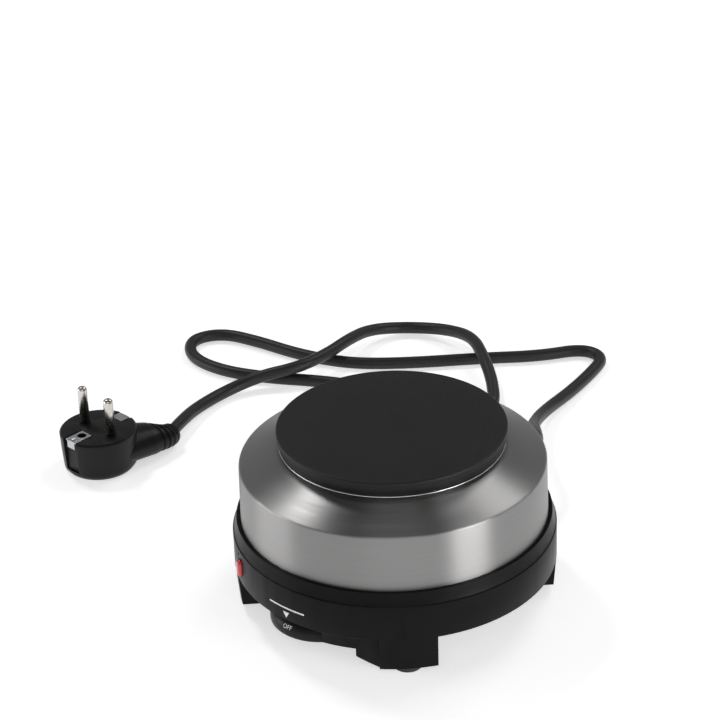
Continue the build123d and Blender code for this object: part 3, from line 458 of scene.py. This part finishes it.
FINISHES: dict[Slot, Finish] = {
    Slot.CAST_PLATE: CastEnamel("cast_black"),
    Slot.SHELL_STEEL: BrushedSteel("brushed_shell"),
    Slot.BASE_BLACK: Moulded("base_satin", (0.0030, 0.0028, 0.0029), (0.0062, 0.0058, 0.0060), 0.36,
                             grain=0.45 * MM, depth=0.018 * MM, specular=0.10),
    Slot.KNOB_BLACK: Moulded("knob_satin", (0.0040, 0.0038, 0.0040), (0.0085, 0.0080, 0.0083), 0.38,
                             grain=0.40 * MM, specular=0.2),
    Slot.PAD_RUBBER: Moulded("pad_rubber", roughness=0.75, light=(0.035, 0.034, 0.033), depth=0.05 * MM),
    Slot.PRINT_WHITE: Print("white_print"),
    Slot.LENS_RED: RedLens("red_lens"),
    Slot.BRIGHT_STEEL: RimRing("rim_ring"),
    Slot.ZINC_STEEL: Metal("zinc_plate", (0.60, 0.61, 0.63), (0.42, 0.43, 0.45), 0.34, 0.20),
    Slot.ELEMENT_METAL: Metal("oxidised_tube", (0.30, 0.27, 0.24), (0.13, 0.11, 0.10), 0.48, 0.22),
    Slot.CERAMIC_WHITE: Mineral("glazed_ceramic", roughness=0.22, depth=0.01 * MM, coat=0.5),
    Slot.FILLER_GREY: Mineral("dry_compound", (0.52, 0.51, 0.47), (0.38, 0.37, 0.34), 0.8, 0.4 * MM),
    Slot.WOOL_WHITE: Mineral("fibre_board", (0.74, 0.72, 0.66), (0.55, 0.52, 0.46), 0.9, 0.9 * MM,
                             0.12 * MM),
    Slot.BRASS_PARTS: Metal("plain_brass", (0.76, 0.58, 0.28), (0.55, 0.40, 0.18), 0.28, 0.18),
    Slot.LAMP_GLASS: Glass("lamp_glass"),
    Slot.CORD_BLACK: Moulded("cord_pvc", (0.010, 0.0098, 0.010), (0.019, 0.0185, 0.019), 0.45, 0.08,
                             0.5 * MM, 0.03 * MM, 0.35),
    Slot.PLUG_BLACK: Moulded("plug_pvc", (0.0045, 0.0043, 0.0045), (0.0090, 0.0086, 0.0088), 0.40, 0.10,
                             0.5 * MM, 0.03 * MM, 0.22),
    Slot.PIN_NICKEL: Metal("nickel_pins", (0.70, 0.68, 0.64), (0.56, 0.54, 0.50), 0.22, 0.12),
    Slot.LEAD_BROWN: Moulded("brown_pvc", (0.16, 0.06, 0.025), (0.24, 0.10, 0.04), 0.42),
    Slot.LEAD_BLUE: Moulded("blue_pvc", (0.02, 0.07, 0.32), (0.04, 0.11, 0.42), 0.42),
    Slot.LEAD_GREEN: Moulded("green_pvc", (0.05, 0.26, 0.06), (0.10, 0.36, 0.08), 0.42),
}


# ---------------------------------------------------------------- surfaces
def closed_mesh(name: str, points: np.ndarray, ring: bool) -> bpy.types.Object:
    """Makes a surface from a grid of points whose second direction runs round a closed line.

    Args:
        name: the piece's name.
        points: rows x columns x 3.
        ring: whether the rows close on themselves too; if not, the first and the last row are
            drawn together to points.

    Returns:
        The object, smooth-shaded with sharp edges kept, its faces outward.
    """
    rows, columns = points.shape[:2]
    index = np.arange(rows * columns).reshape(rows, columns)
    after = np.roll(index, -1, axis=0) if ring else index[1:]
    before = index if ring else index[:-1]
    faces = np.stack([before, np.roll(before, -1, 1), np.roll(after, -1, 1), after], -1)
    mesh = bpy.data.meshes.new(name)
    mesh.from_pydata(points.reshape(-1, 3).tolist(), [], faces.reshape(-1, 4).tolist())
    return finish_mesh(name, mesh, 1e-7)


def finish_mesh(name: str, mesh: bpy.types.Mesh, merge: float, sharp: float = 34.0) -> bpy.types.Object:
    """Merges doubles, turns faces outward and shades a mesh smooth except at sharp edges.

    Args:
        name: the piece's name.
        mesh: the mesh, changed in place.
        merge: points closer than this become one.
        sharp: angle in degrees above which an edge stays sharp.

    Returns:
        A new object with the mesh.
    """
    work = bmesh.new()
    work.from_mesh(mesh)
    bmesh.ops.remove_doubles(work, verts=work.verts, dist=merge)
    bmesh.ops.dissolve_degenerate(work, edges=work.edges, dist=merge)
    bmesh.ops.recalc_face_normals(work, faces=work.faces)
    work.to_mesh(mesh)
    work.free()
    mesh.polygons.foreach_set("use_smooth", np.ones(len(mesh.polygons), bool))
    mesh.set_sharp_from_angle(angle=math.radians(sharp))
    made = bpy.data.objects.new(name, mesh)
    bpy.context.scene.collection.objects.link(made)
    return made


def rounded(profile: Sequence[tuple[float, float]], reach: float | Sequence[float], steps: int = 5,
            closed: bool = True) -> np.ndarray:
    """Rounds the corners of an outline.

    Each corner P becomes the curve (1-s)^2 A + 2 s (1-s) P + s^2 B, where A and B are on its two
    sides, reach away but at most 0.45 of the side, and s goes from 0 to 1.

    Args:
        profile: the outline's corners.
        reach: one distance for all corners, or one for each.
        steps: pieces of each curve.
        closed: whether the last corner is followed by the first; if not, both ends stay put.

    Returns:
        The points of the rounded outline.
    """
    corners = np.asarray(profile, float)
    before, after = np.roll(corners, 1, 0), np.roll(corners, -1, 0)
    back, front = before - corners, after - corners
    long_back = np.linalg.norm(back, axis=1, keepdims=True)
    long_front = np.linalg.norm(front, axis=1, keepdims=True)
    wanted = np.broadcast_to(np.asarray(reach, float).reshape(-1, 1), long_back.shape)
    size = np.minimum(wanted, 0.45 * np.minimum(long_back, long_front))
    start, end = corners + back / long_back * size, corners + front / long_front * size
    s = np.linspace(0, 1, steps + 1)[None, :, None]
    curve = (1 - s) ** 2 * start[:, None] + 2 * s * (1 - s) * corners[:, None] + s ** 2 * end[:, None]
    if closed:
        return curve.reshape(-1, 2)
    return np.concatenate([corners[:1], curve[1:-1].reshape(-1, 2), corners[-1:]])


def turned(profile: np.ndarray, steps: int = 192) -> np.ndarray:
    """Turns an outline round Z: a point at (r, z) goes to (r cos t, r sin t, z) for t once round.

    Args:
        profile: points (radius, height).
        steps: points round the axis.

    Returns:
        A grid with one row for each point of the outline.
    """
    turn = np.linspace(0, 2 * math.pi, steps, endpoint=False)[None]
    radius, height = profile[:, :1], profile[:, 1:]
    return np.stack([radius * np.cos(turn), radius * np.sin(turn), height + 0 * turn], -1)


def lofted(centres: np.ndarray, sides: np.ndarray, ups: np.ndarray, half_w: np.ndarray,
           half_h: np.ndarray, power: float = 2.0, steps: int = 64) -> np.ndarray:
    """Carries a superellipse along a line.

    A section's points are centre + side a sgn(cos t)|cos t|^(2/p) + up b sgn(sin t)|sin t|^(2/p).

    Args:
        centres: the line's points.
        sides: unit vectors across the line, one for each point or one for all.
        ups: unit vectors square to them.
        half_w: half widths along the sides.
        half_h: half heights along the ups.
        power: 2 for an ellipse, more for a rounded box.
        steps: points round a section.

    Returns:
        A grid with one row for each section.
    """
    turn = np.linspace(0, 2 * math.pi, steps, endpoint=False)
    across = np.sign(np.cos(turn)) * np.abs(np.cos(turn)) ** (2 / power)
    high = np.sign(np.sin(turn)) * np.abs(np.sin(turn)) ** (2 / power)
    wide = np.broadcast_to(sides, centres.shape)[:, None] * (half_w[:, None] * across)[..., None]
    tall = np.broadcast_to(ups, centres.shape)[:, None] * (half_h[:, None] * high)[..., None]
    return centres[:, None] + wide + tall


def merged_copy(name: str, node: str, bevel: float = 0.0, segments: int = 2,
                sharp: float = 34.0) -> bpy.types.Object:
    """A copy of a CAD node with its doubles merged and its sharp edges bevelled.

    Args:
        name: the copy's name.
        node: the CAD node.
        bevel: width of the bevel; none if 0.
        segments: the bevel's segments.
        sharp: angle in degrees above which an edge is bevelled or stays sharp.

    Returns:
        The copy.
    """
    made = finish_mesh(name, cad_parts[node].data.copy(), 2e-6, sharp)
    if bevel:
        edge = made.modifiers.new("edges", "BEVEL")
        edge.width, edge.segments = bevel, segments
        edge.limit_method, edge.angle_limit = "ANGLE", math.radians(sharp)
        edge.miter_outer = "MITER_ARC"
        edge.use_clamp_overlap, edge.harden_normals = True, True
    return made


def dress(piece: bpy.types.Object, slot: Slot, body: Body, *nodes: str) -> bpy.types.Object:
    """Gives a new piece the finish of its slot and its body, and hides the CAD nodes that it stands for.

    Args:
        piece: the new piece, in place.
        slot: the record's slot whose finish it takes.
        body: the body that it rides on.
        nodes: the CAD nodes that it replaces.

    Returns:
        The piece.
    """
    piece.data.materials.clear()
    piece.data.materials.append(FINISHES[slot].material())
    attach(piece, body.value)
    if nodes:
        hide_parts(*nodes)
    LOG.info("piece %s stands for %s", piece.name, ", ".join(nodes) or "nothing")
    return piece


def keep(slot: Slot, nodes: Iterable[str]) -> None:
    """Keeps CAD nodes as they are and gives them a slot's finish."""
    for name in nodes:
        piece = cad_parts[name]
        if not piece.material_slots:
            piece.data.materials.append(None)
        for place in piece.material_slots:
            place.material = FINISHES[slot].material()
        LOG.info("kept %s", name)


# ---------------------------------------------------------------- sub-assemblies
@dataclass
class HeatingHead:
    """Cast plate with its element, ring, shield and the stud that holds them."""

    plate_r: float = 50.0 * MM
    low_r: float = 49.0 * MM
    top: float = 82.5 * MM
    side: float = 6.8 * MM
    groove_in: float = 20.0 * MM
    groove_out: float = 43.0 * MM
    groove: float = 3.8 * MM
    boss_r: float = 7.5 * MM
    boss: float = 5.2 * MM
    stud_r: float = 3.05 * MM
    ring_r: float = 46.1 * MM
    ring_t: float = 0.6 * MM
    ring_low: float = 73.2 * MM

    def plate(self) -> bpy.types.Object:
        """The casting: an outline from the axis over the edge to the boss, turned round Z."""
        low = self.top - self.side
        step = low + 1.6 * MM
        outline = [(0, self.top), (self.plate_r * 0.5, self.top), (self.plate_r, self.top),
                   (self.plate_r - 0.35 * MM, step + 1.2 * MM), (self.low_r + 0.05 * MM, step - 0.6 * MM),
                   (self.low_r, low), (self.groove_out, low), (self.groove_out, low + self.groove),
                   (self.groove_in, low + self.groove), (self.groove_in, low), (self.boss_r, low),
                   (self.boss_r, low - self.boss), (self.stud_r, low - self.boss),
                   (self.stud_r, low + 2.5 * MM), (0, low + 2.5 * MM)]
        reach = np.array([0, 1, 1.1, 2.0, 1.0, 0.4, 0.05, 0.05, 0.05, 0.05, 0.3, 0.4, 0.1, 0.1, 0]) * MM
        piece = closed_mesh("cast_plate_turned", turned(rounded(outline, reach, 6, False), 256), False)
        return dress(piece, Slot.CAST_PLATE, Body.BURNER, "hot_plate")

    def ring(self) -> bpy.types.Object:
        """The bright ring: a web under a flange, turned round Z."""
        low, inner = self.top - self.side, self.ring_r - self.ring_t
        outline = [(inner, self.ring_low), (self.ring_r, self.ring_low), (self.ring_r, low - self.ring_t),
                   (self.low_r, low - self.ring_t), (self.low_r, low), (inner, low)]
        piece = closed_mesh("bright_ring_turned", turned(rounded(outline, 0.2 * MM, 3), 192), True)
        return dress(piece, Slot.BRIGHT_STEEL, Body.BURNER, "trim_ring")

    def build(self) -> None:
        """Builds and dresses the head."""
        self.plate()
        self.ring()
        keep(Slot.ELEMENT_METAL, ["heating_coil"])
        keep(Slot.FILLER_GREY, ["coil_filler"])
        keep(Slot.WOOL_WHITE, ["wool_ring"])
        keep(Slot.CERAMIC_WHITE, ["pin_beads"])
        keep(Slot.ZINC_STEEL, ["heat_shield", "plate_stud", "stud_washers", "stud_nuts", "clamp_bridge",
                               "bridge_screws", "earth_screw"])
        keep(Slot.BRASS_PARTS, ["earth_tag"])


@dataclass
class Casing:
    """Spun steel shell on the moulded base, with pads, cover and prints."""

    thick: float = 0.6 * MM
    low_r: float = 67.0 * MM
    top_r: float = 66.5 * MM
    ledge: float = 39.4 * MM
    shoulder: float = 66.5 * MM
    cone_r: float = 49.5 * MM
    cone_top: float = 73.2 * MM
    hole_r: float = 41.0 * MM

    def shell(self) -> bpy.types.Object:
        """The spun sheet: wall, shoulder, cone and inner flange, turned round Z."""
        t = self.thick
        outline = [(self.low_r, self.ledge), (self.top_r, self.shoulder), (self.cone_r, self.cone_top),
                   (self.hole_r, self.cone_top), (self.hole_r, self.cone_top - t),
                   (self.cone_r - 0.1 * MM, self.cone_top - t), (self.top_r - t, self.shoulder - t * 0.7),
                   (self.low_r - t, self.ledge)]
        reach = np.array([0.15, 0.9, 1.2, 0.2, 0.2, 1.0, 0.5, 0.15]) * MM
        piece = closed_mesh("shell_spun", turned(rounded(outline, reach, 6), 256), True)
        return dress(piece, Slot.SHELL_STEEL, Body.BURNER, "steel_shell")

    def build(self) -> None:
        """Builds and dresses the casing."""
        self.shell()
        dress(merged_copy("base_moulding", "base_housing", 0.35 * MM), Slot.BASE_BLACK, Body.BURNER,
              "base_housing")
        dress(merged_copy("rubber_pads", "foot_pads", 0.3 * MM), Slot.PAD_RUBBER, Body.BURNER, "foot_pads")
        dress(merged_copy("cover_sheet", "bottom_cover", 0.12 * MM), Slot.ZINC_STEEL, Body.BURNER,
              "bottom_cover")
        dress(merged_copy("cover_screw_heads", "cover_screws", 0.15 * MM), Slot.ZINC_STEEL, Body.BURNER,
              "cover_screws")
        keep(Slot.PRINT_WHITE, ["wall_marks"])


@dataclass
class Control:
    """Knob with its marks, and the thermostat that it works."""

    knob_y: float = -48.5 * MM
    edge_r: float = 22.4 * MM
    word: str = "OFF"
    word_height: float = 1.9 * MM
    cap_share: float = 0.7
    spacing: float = 1.05
    proud: float = 0.05 * MM
    slope_way: Sequence[float] = (0.0, 1.887 * MM, 4.512 * MM)
    slope_r: Sequence[float] = (22.4 * MM, 21.4 * MM, 19.4 * MM)
    slope_z: Sequence[float] = (15.0 * MM, 16.6 * MM, 18.3 * MM)

    def zero_word(self) -> bpy.types.Object:
        """The word for zero, printed on the knob's sloping edge.

        A letter's point (a, b) goes to the angle a / r round the knob, and b is the way up the
        slope, whose radius and height come from the knob's outline. A capital letter is as high
        as cap_share of the font's size.
        """
        curve = bpy.data.curves.new("zero_word_line", "FONT")
        curve.body, curve.size = self.word, self.word_height / self.cap_share
        curve.align_x, curve.space_character = "CENTER", self.spacing
        flat = bpy.data.objects.new("zero_word_flat", curve)
        bpy.context.scene.collection.objects.link(flat)
        bpy.context.view_layer.update()
        mesh = bpy.data.meshes.new_from_object(flat)
        bpy.data.objects.remove(flat)
        spots = np.zeros(len(mesh.vertices) * 3)
        mesh.vertices.foreach_get("co", spots)
        across, rise = spots.reshape(-1, 3)[:, 0], spots.reshape(-1, 3)[:, 1]
        radius = np.interp(rise, self.slope_way, self.slope_r) + self.proud
        height = np.interp(rise, self.slope_way, self.slope_z) + self.proud * 0.5
        angle = across / self.edge_r
        placed = np.stack([radius * np.sin(angle), self.knob_y - radius * np.cos(angle), height], -1)
        mesh.vertices.foreach_set("co", placed.ravel())
        piece = bpy.data.objects.new("zero_word", mesh)
        bpy.context.scene.collection.objects.link(piece)
        return dress(piece, Slot.PRINT_WHITE, Body.KNOB)

    def build(self) -> None:
        """Builds and dresses the control."""
        dress(merged_copy("thumb_wheel", "control_knob", 0.3 * MM), Slot.KNOB_BLACK, Body.KNOB,
              "control_knob")
        self.zero_word()
        keep(Slot.PRINT_WHITE, ["knob_marks"])
        keep(Slot.BRASS_PARTS, ["thermostat_shaft", "thermostat_bush", "fixed_contact_blade", "blade_tab",
                                "moving_contact_blade"])
        keep(Slot.CERAMIC_WHITE, ["push_pin", "stack_insulators"])
        keep(Slot.ZINC_STEEL, ["thermostat_bracket", "bracket_screws", "stack_rivet", "bimetal_strip"])


@dataclass
class Lamp:
    """Indicator lens with its lamp."""

    direction: float = -120.0
    half_w: float = 2.3 * MM
    half_h: float = 4.0 * MM
    height: float = 27.0 * MM
    wall_in: float = 68.1 * MM
    wall_out: float = 70.7 * MM
    proud: float = 1.7 * MM

    def lens(self) -> bpy.types.Object:
        """The lens: superellipses along the lamp's direction, with a flange inside the wall.

        Towards the tip a section shrinks by a quarter circle: with s from 0 to 1, it draws in by
        edge (1 - sqrt(1 - s^2)) as it goes out by s times the rounding.
        """
        a = math.radians(self.direction)
        out = np.array([math.cos(a), math.sin(a), 0.0])
        side = np.array([-out[1], out[0], 0.0])
        tip, edge = self.wall_out + self.proud, 1.5 * MM
        s = np.sin(np.linspace(0, math.pi / 2, 10))
        flange = self.wall_in - 0.6 * MM
        along = np.concatenate([[flange - 1.8 * MM] * 2, [flange] * 2, tip - edge + edge * s, [tip]])
        draw = edge * (1 - np.sqrt(1 - s ** 2))
        half_w = np.concatenate([[0, self.half_w + 1.6 * MM], [self.half_w + 1.6 * MM, self.half_w],
                                 self.half_w - draw, [0]])
        half_h = np.concatenate([[0, self.half_h + 1.3 * MM], [self.half_h + 1.3 * MM, self.half_h],
                                 self.half_h - draw, [0]])
        centres = out * along[:, None] + np.array([0, 0, self.height])
        grid = lofted(centres, side, np.array([0, 0, 1.0]), half_w, half_h, 3.4, 96)
        return dress(closed_mesh("lens_domed", grid, False), Slot.LENS_RED, Body.BURNER, "indicator_lens")

    def build(self) -> None:
        """Builds and dresses the lamp."""
        self.lens()
        keep(Slot.CERAMIC_WHITE, ["lamp_carrier"])
        keep(Slot.LAMP_GLASS, ["neon_lamp"])
        keep(Slot.LEAD_BROWN, ["lamp_resistor"])


@dataclass
class Wiring:
    """Terminal block, fuse, clamp and leads inside the base."""

    def build(self) -> None:
        """Dresses the wiring."""
        keep(Slot.CERAMIC_WHITE, ["terminal_block"])
        keep(Slot.BRASS_PARTS, ["terminal_sleeves", "block_link"])
        keep(Slot.ZINC_STEEL, ["terminal_screws", "thermal_fuse", "fuse_clip", "clamp_screws"])
        keep(Slot.BASE_BLACK, ["cord_clamp"])
        keep(Slot.LEAD_BROWN, ["live_lead", "switched_lead", "fuse_lead"])
        keep(Slot.LEAD_BLUE, ["neutral_lead", "return_lead", "lamp_return"])
        keep(Slot.LEAD_GREEN, ["earth_lead"])
        keep(Slot.CORD_BLACK, ["cord_tail"])


@dataclass
class Plug:
    """Moulded plug with its pins, earth strips and ribbed relief."""

    x: float = -184.1 * MM
    y: float = -5.3 * MM
    limb: float = 63.5
    relief_r: float = 5.5 * MM
    root_away: float = 25.0 * MM
    root_z: float = 7.7 * MM
    root_w: float = 10.1 * MM
    root_h: float = 7.6 * MM
    dip: float = 0.08
    plain_below: float = 0.06
    plain_above: float = 0.97
    end: Point = (-0.1705, 0.0290, 0.0062)
    end_direction: float = 109.9
    ribs: int = 5

    def relief(self) -> bpy.types.Object:
        """The relief: ellipses along a bent line from the body to the cord.

        The line is (1-s)^3 A + 3 s (1-s)^2 B + 3 s^2 (1-s) C + s^3 D with the body's direction at A
        and the cord's at D. A section's size is (1-s) times the body's plus s times the cord's,
        and dips between ribs, but not where s is near 0 or 1.
        """
        first, last = math.radians(self.limb + 10), math.radians(self.end_direction)
        one = math.radians(self.limb + 1)
        start = np.array([self.x + self.root_away * math.cos(one),
                          self.y + self.root_away * math.sin(one), self.root_z])
        finish = np.array(self.end)
        lead = np.linalg.norm(finish - start) / 3
        near = start + lead * np.array([math.cos(first), math.sin(first), 0])
        far = finish - lead * np.array([math.cos(last), math.sin(last), 0])
        s = np.linspace(0, 1, 60)[:, None]
        line = ((1 - s) ** 3 * start + 3 * s * (1 - s) ** 2 * near + 3 * s ** 2 * (1 - s) * far
                + s ** 3 * finish)
        s = s[:, 0]
        turn = first + (last - first) * s
        sides = np.stack([np.sin(turn), -np.cos(turn), 0 * turn], -1)
        wave = np.clip(0.5 - 2.2 * np.cos(2 * math.pi * self.ribs * s), 0, 1)
        wave = np.where((s < self.plain_below) | (s > self.plain_above), 1.0, wave)
        size = 1 - self.dip * (1 - wave)
        half_w = ((1 - s) * self.root_w + s * self.relief_r) * size
        half_h = ((1 - s) * self.root_h + s * self.relief_r) * size
        line = np.concatenate([line[:1], line, line[-1:]])
        sides = np.concatenate([sides[:1], sides, sides[-1:]])
        half_w, half_h = np.pad(half_w, 1), np.pad(half_h, 1)
        grid = lofted(line, sides, np.array([0, 0, 1.0]), half_w, half_h, 2.0, 64)
        return dress(closed_mesh("relief_ribbed", grid, False), Slot.PLUG_BLACK, Body.BURNER, "plug_relief")

    def build(self) -> list[bpy.types.Object]:
        """Builds and dresses the plug; returns its pieces."""
        body = dress(merged_copy("plug_moulding", "plug_body", 0.7 * MM, 3, 40.0), Slot.PLUG_BLACK,
                     Body.BURNER, "plug_body")
        pins = dress(merged_copy("pins_domed", "plug_pins"), Slot.PIN_NICKEL, Body.BURNER, "plug_pins")
        strips = dress(merged_copy("earth_strips", "plug_earth_clips", 0.12 * MM), Slot.ZINC_STEEL,
                       Body.BURNER, "plug_earth_clips")
        return [body, pins, strips, self.relief()]


@dataclass
class Cord:
    """Mains cord from the gland in the back wall to the plug."""

    radius: float = 3.1 * MM
    length: float = 0.865
    wall: float = 70.7 * MM
    wall_t: float = 2.6 * MM
    height: float = 27.0 * MM
    bore_r: float = 3.3 * MM
    neck_r: float = 4.9 * MM
    flange_r: float = 5.6 * MM
    flange_from: float = 3.4 * MM
    flange_to: float = 0.7 * MM
    root_r: float = 6.4 * MM
    tip_r: float = 4.6 * MM
    tip_y: float = 0.096
    rib_dip: float = 0.75 * MM
    rib_turns: float = 5.5
    points: Sequence[Point] = field(default_factory=lambda: [
        (0, 0.096, 0.027), (-0.0003, 0.1025, 0.0270), (-0.0105, 0.1140, 0.0245),
        (-0.0280, 0.1340, 0.0135), (-0.0400, 0.1590, 0.0060), (-0.0445, 0.1860, 0.0034),
        (-0.0488, 0.2098, 0.0031), (-0.0535, 0.2270, 0.0031), (-0.068, 0.228, 0.0031),
        (-0.081, 0.208, 0.0031),
        (-0.103, 0.188, 0.0031), (-0.1278, 0.1626, 0.0031), (-0.1476, 0.1458, 0.0031),
        (-0.1648, 0.1379, 0.0031), (-0.1845, 0.1331, 0.0031), (-0.207, 0.1313, 0.0031),
        (-0.2296, 0.1267, 0.0031), (-0.2377, 0.1102, 0.0031), (-0.2229, 0.0965, 0.0031),
        (-0.1996, 0.0958, 0.0031), (-0.1756, 0.105, 0.0031), (-0.1554, 0.1168, 0.0031),
        (-0.1354, 0.1259, 0.0031), (-0.1142, 0.120, 0.0031), (-0.0947, 0.1078, 0.0031),
        (-0.0742, 0.1126, 0.0031), (-0.0622, 0.1299, 0.0031), (-0.0648, 0.151, 0.0031),
        (-0.0787, 0.1667, 0.0068), (-0.0946, 0.1794, 0.0105), (-0.1125, 0.1928, 0.0105),
        (-0.1338, 0.198, 0.0062), (-0.1551, 0.1919, 0.0033), (-0.1651, 0.173, 0.0068),
        (-0.1621, 0.153, 0.0105), (-0.1598, 0.1323, 0.0105), (-0.1618, 0.1119, 0.0105),
        (-0.1757, 0.0989, 0.0068), (-0.1833, 0.0789, 0.0031), (-0.1813, 0.0586, 0.0040),
        (-0.1756, 0.0431, 0.0062), (-0.1705, 0.0290, 0.0062)])

    def gland(self) -> bpy.types.Object:
        """The gland: a ribbed taper with a neck and a flange, turned round the cord's axis.

        Past the wall the radius runs evenly from root to tip, less a dip between ribs.
        """
        inner, first = self.wall - self.wall_t, self.wall + 3 * MM
        s = np.linspace(0, 1, 90)
        taper = self.root_r + (self.tip_r - self.root_r) * s
        groove = (np.clip(1.3 * np.cos(2 * math.pi * self.rib_turns * s) - 0.3, 0, 1)
                  * (s > 0.06) * (s < 0.95))
        outside = np.stack([taper - self.rib_dip * groove, first + (self.tip_y - first) * s], -1)
        root = [(self.bore_r, inner - self.flange_from), (self.flange_r, inner - self.flange_from),
                (self.flange_r, inner - self.flange_to), (self.neck_r, inner - self.flange_to),
                (self.neck_r, self.wall + 0.1 * MM), (self.root_r, self.wall + 0.1 * MM)]
        profile = np.concatenate([np.array(root), outside, [(self.bore_r, self.tip_y)]])
        grid = turned(profile, 96)
        placed = np.stack([grid[..., 0], grid[..., 2], self.height + grid[..., 1]], -1)
        return dress(closed_mesh("gland_ribbed", placed, True), Slot.PLUG_BLACK, Body.BURNER, "cord_gland")

    def cable(self) -> bpy.types.Object:
        """The cord itself: one open NURBS line with a round section."""
        curve = bpy.data.curves.new("mains_cord", "CURVE")
        curve.dimensions, curve.resolution_u = "3D", 10
        curve.bevel_depth, curve.bevel_resolution, curve.use_fill_caps = self.radius, 6, True
        line = curve.splines.new("NURBS")
        line.points.add(len(self.points) - 1)
        line.points.foreach_set("co", np.column_stack([self.points, np.ones(len(self.points))]).ravel())
        line.order_u = 3
        line.use_endpoint_u = True
        piece = bpy.data.objects.new("mains_cord", curve)
        bpy.context.scene.collection.objects.link(piece)
        return dress(piece, Slot.CORD_BLACK, Body.BURNER, "power_cord")

    def build(self, plug: list[bpy.types.Object]) -> None:
        """Builds and dresses the gland and the cord, whose last point meets the plug."""
        self.gland()
        self.cable()


@dataclass
class Studio:
    """Floor, lights and camera."""

    eye: Point = (0.62535, -0.70683, 0.61010)
    target: Point = (-0.00932, -0.00825, 0.11416)
    roll: float = -2.182
    lens: float = 126.24
    azimuth: float = 41.5
    floor_half: float = 6.0
    floor_tone: float = 0.93
    floor_glow: float = 0.55
    room_low: Colour = (0.34, 0.34, 0.34)
    room_high: Colour = (0.07, 0.07, 0.072)
    lights: Sequence[tuple[str, Point, tuple[float, float], float]] = (
        ("left_top", (-0.75, 1.00, 1.75), (0.35, 0.35), 8.5),
        ("right_top", (0.86, 0.92, 1.56), (0.9, 0.6), 7),
        ("right_low", (1.17, -0.92, 0.26), (0.7, 0.48), 11),
        ("left_low", (-1.45, 0.05, 0.26), (0.9, 0.48), 5.5),
        ("front_fill", (0.0, -1.80, 1.60), (1.6, 1.0), 7),
    )

    def from_eye(self, right: float, away: float, up: float) -> Vector:
        """A place from how far right of, behind and above the axis it is, as the camera sees it."""
        a = math.radians(self.azimuth)
        cos, sin = math.cos(a), math.sin(a)
        return Vector((right * cos - away * sin, right * sin + away * cos, up))

    def light(self, name: str, place: Point, size: tuple[float, float], power: float) -> None:
        """Adds an area light that faces the object.

        Args:
            name: the light's name.
            place: right, away and up, as the camera sees it.
            size: its width and height.
            power: in watts.
        """
        lamp = bpy.data.lights.new(name, "AREA")
        lamp.shape, (lamp.size, lamp.size_y), lamp.energy = "RECTANGLE", size, power
        made = bpy.data.objects.new(name, lamp)
        made.location = self.from_eye(*place)
        made.rotation_mode = "QUATERNION"
        made.rotation_quaternion = (Vector((0, 0, 0.05)) - made.location).to_track_quat("-Z", "Y")
        bpy.context.scene.collection.objects.link(made)

    def floor(self) -> None:
        """A pale plain floor at z = 0 that glows a little, so that shadows on it are faint."""
        mesh = bpy.data.meshes.new("floor")
        h = self.floor_half
        mesh.from_pydata([(-h, -h, 0), (h, -h, 0), (h, h, 0), (-h, h, 0)], [], [(0, 1, 2, 3)])
        made = bpy.data.objects.new("floor", mesh)
        bpy.context.scene.collection.objects.link(made)
        pale = bpy.data.materials.new("pale_floor")
        graph = Graph(pale)
        tone = self.floor_tone
        graph.surface(Base_Color=(tone, tone, tone, 1.0), Roughness=0.9, Specular_IOR_Level=0.1,
                      Emission_Color=(1.0, 1.0, 1.0, 1.0), Emission_Strength=self.floor_glow)
        mesh.materials.append(pale)

    def sky(self) -> None:
        """The room: bright low down and darker overhead."""
        world = bpy.data.worlds.new("room")
        bpy.context.scene.world = world
        graph = Graph(world)
        way = graph.wire("ShaderNodeTexCoord", output="Generated")
        split = graph.node("ShaderNodeSeparateXYZ", sockets={0: way})
        high = Wire(graph, split.outputs[2]).ramp(0.25, 0.9)
        colour = graph.blend(high, self.room_low, self.room_high)
        back = graph.wire("ShaderNodeBackground", None, {"Color": colour, "Strength": 1.0})
        graph.node("ShaderNodeOutputWorld", None, {"Surface": back})

    def camera(self) -> None:
        """The camera: it looks from eye to target and is rolled about that line."""
        data = bpy.data.cameras.new("camera")
        data.lens, data.sensor_width = self.lens, 36.0
        data.clip_start, data.clip_end = 0.01, 50.0
        forward = (Vector(self.target) - Vector(self.eye)).normalized()
        right = forward.cross(Vector((0, 0, 1))).normalized()
        up = right.cross(forward)
        r = math.radians(self.roll)
        right, up = math.cos(r) * right + math.sin(r) * up, -math.sin(r) * right + math.cos(r) * up
        turn = Matrix((right, up, -forward)).transposed()
        made = bpy.data.objects.new("camera", data)
        made.matrix_world = Matrix.Translation(self.eye) @ turn.to_4x4()
        bpy.context.scene.collection.objects.link(made)
        bpy.context.scene.camera = made

    def build(self) -> None:
        """Sets up the studio."""
        bpy.context.scene.view_settings.view_transform = "Standard"
        self.floor()
        self.sky()
        for name, place, size, power in self.lights:
            self.light(name, place, size, power)
        self.camera()


def main() -> None:
    """Builds the hot plate and its studio."""
    logging.basicConfig(level=logging.INFO, format="%(name)s: %(message)s")
    Studio().build()
    Cord().build(Plug().build())
    HeatingHead().build()
    Casing().build()
    Control().build()
    Lamp().build()
    Wiring().build()


if __name__ == "__main__":
    main()
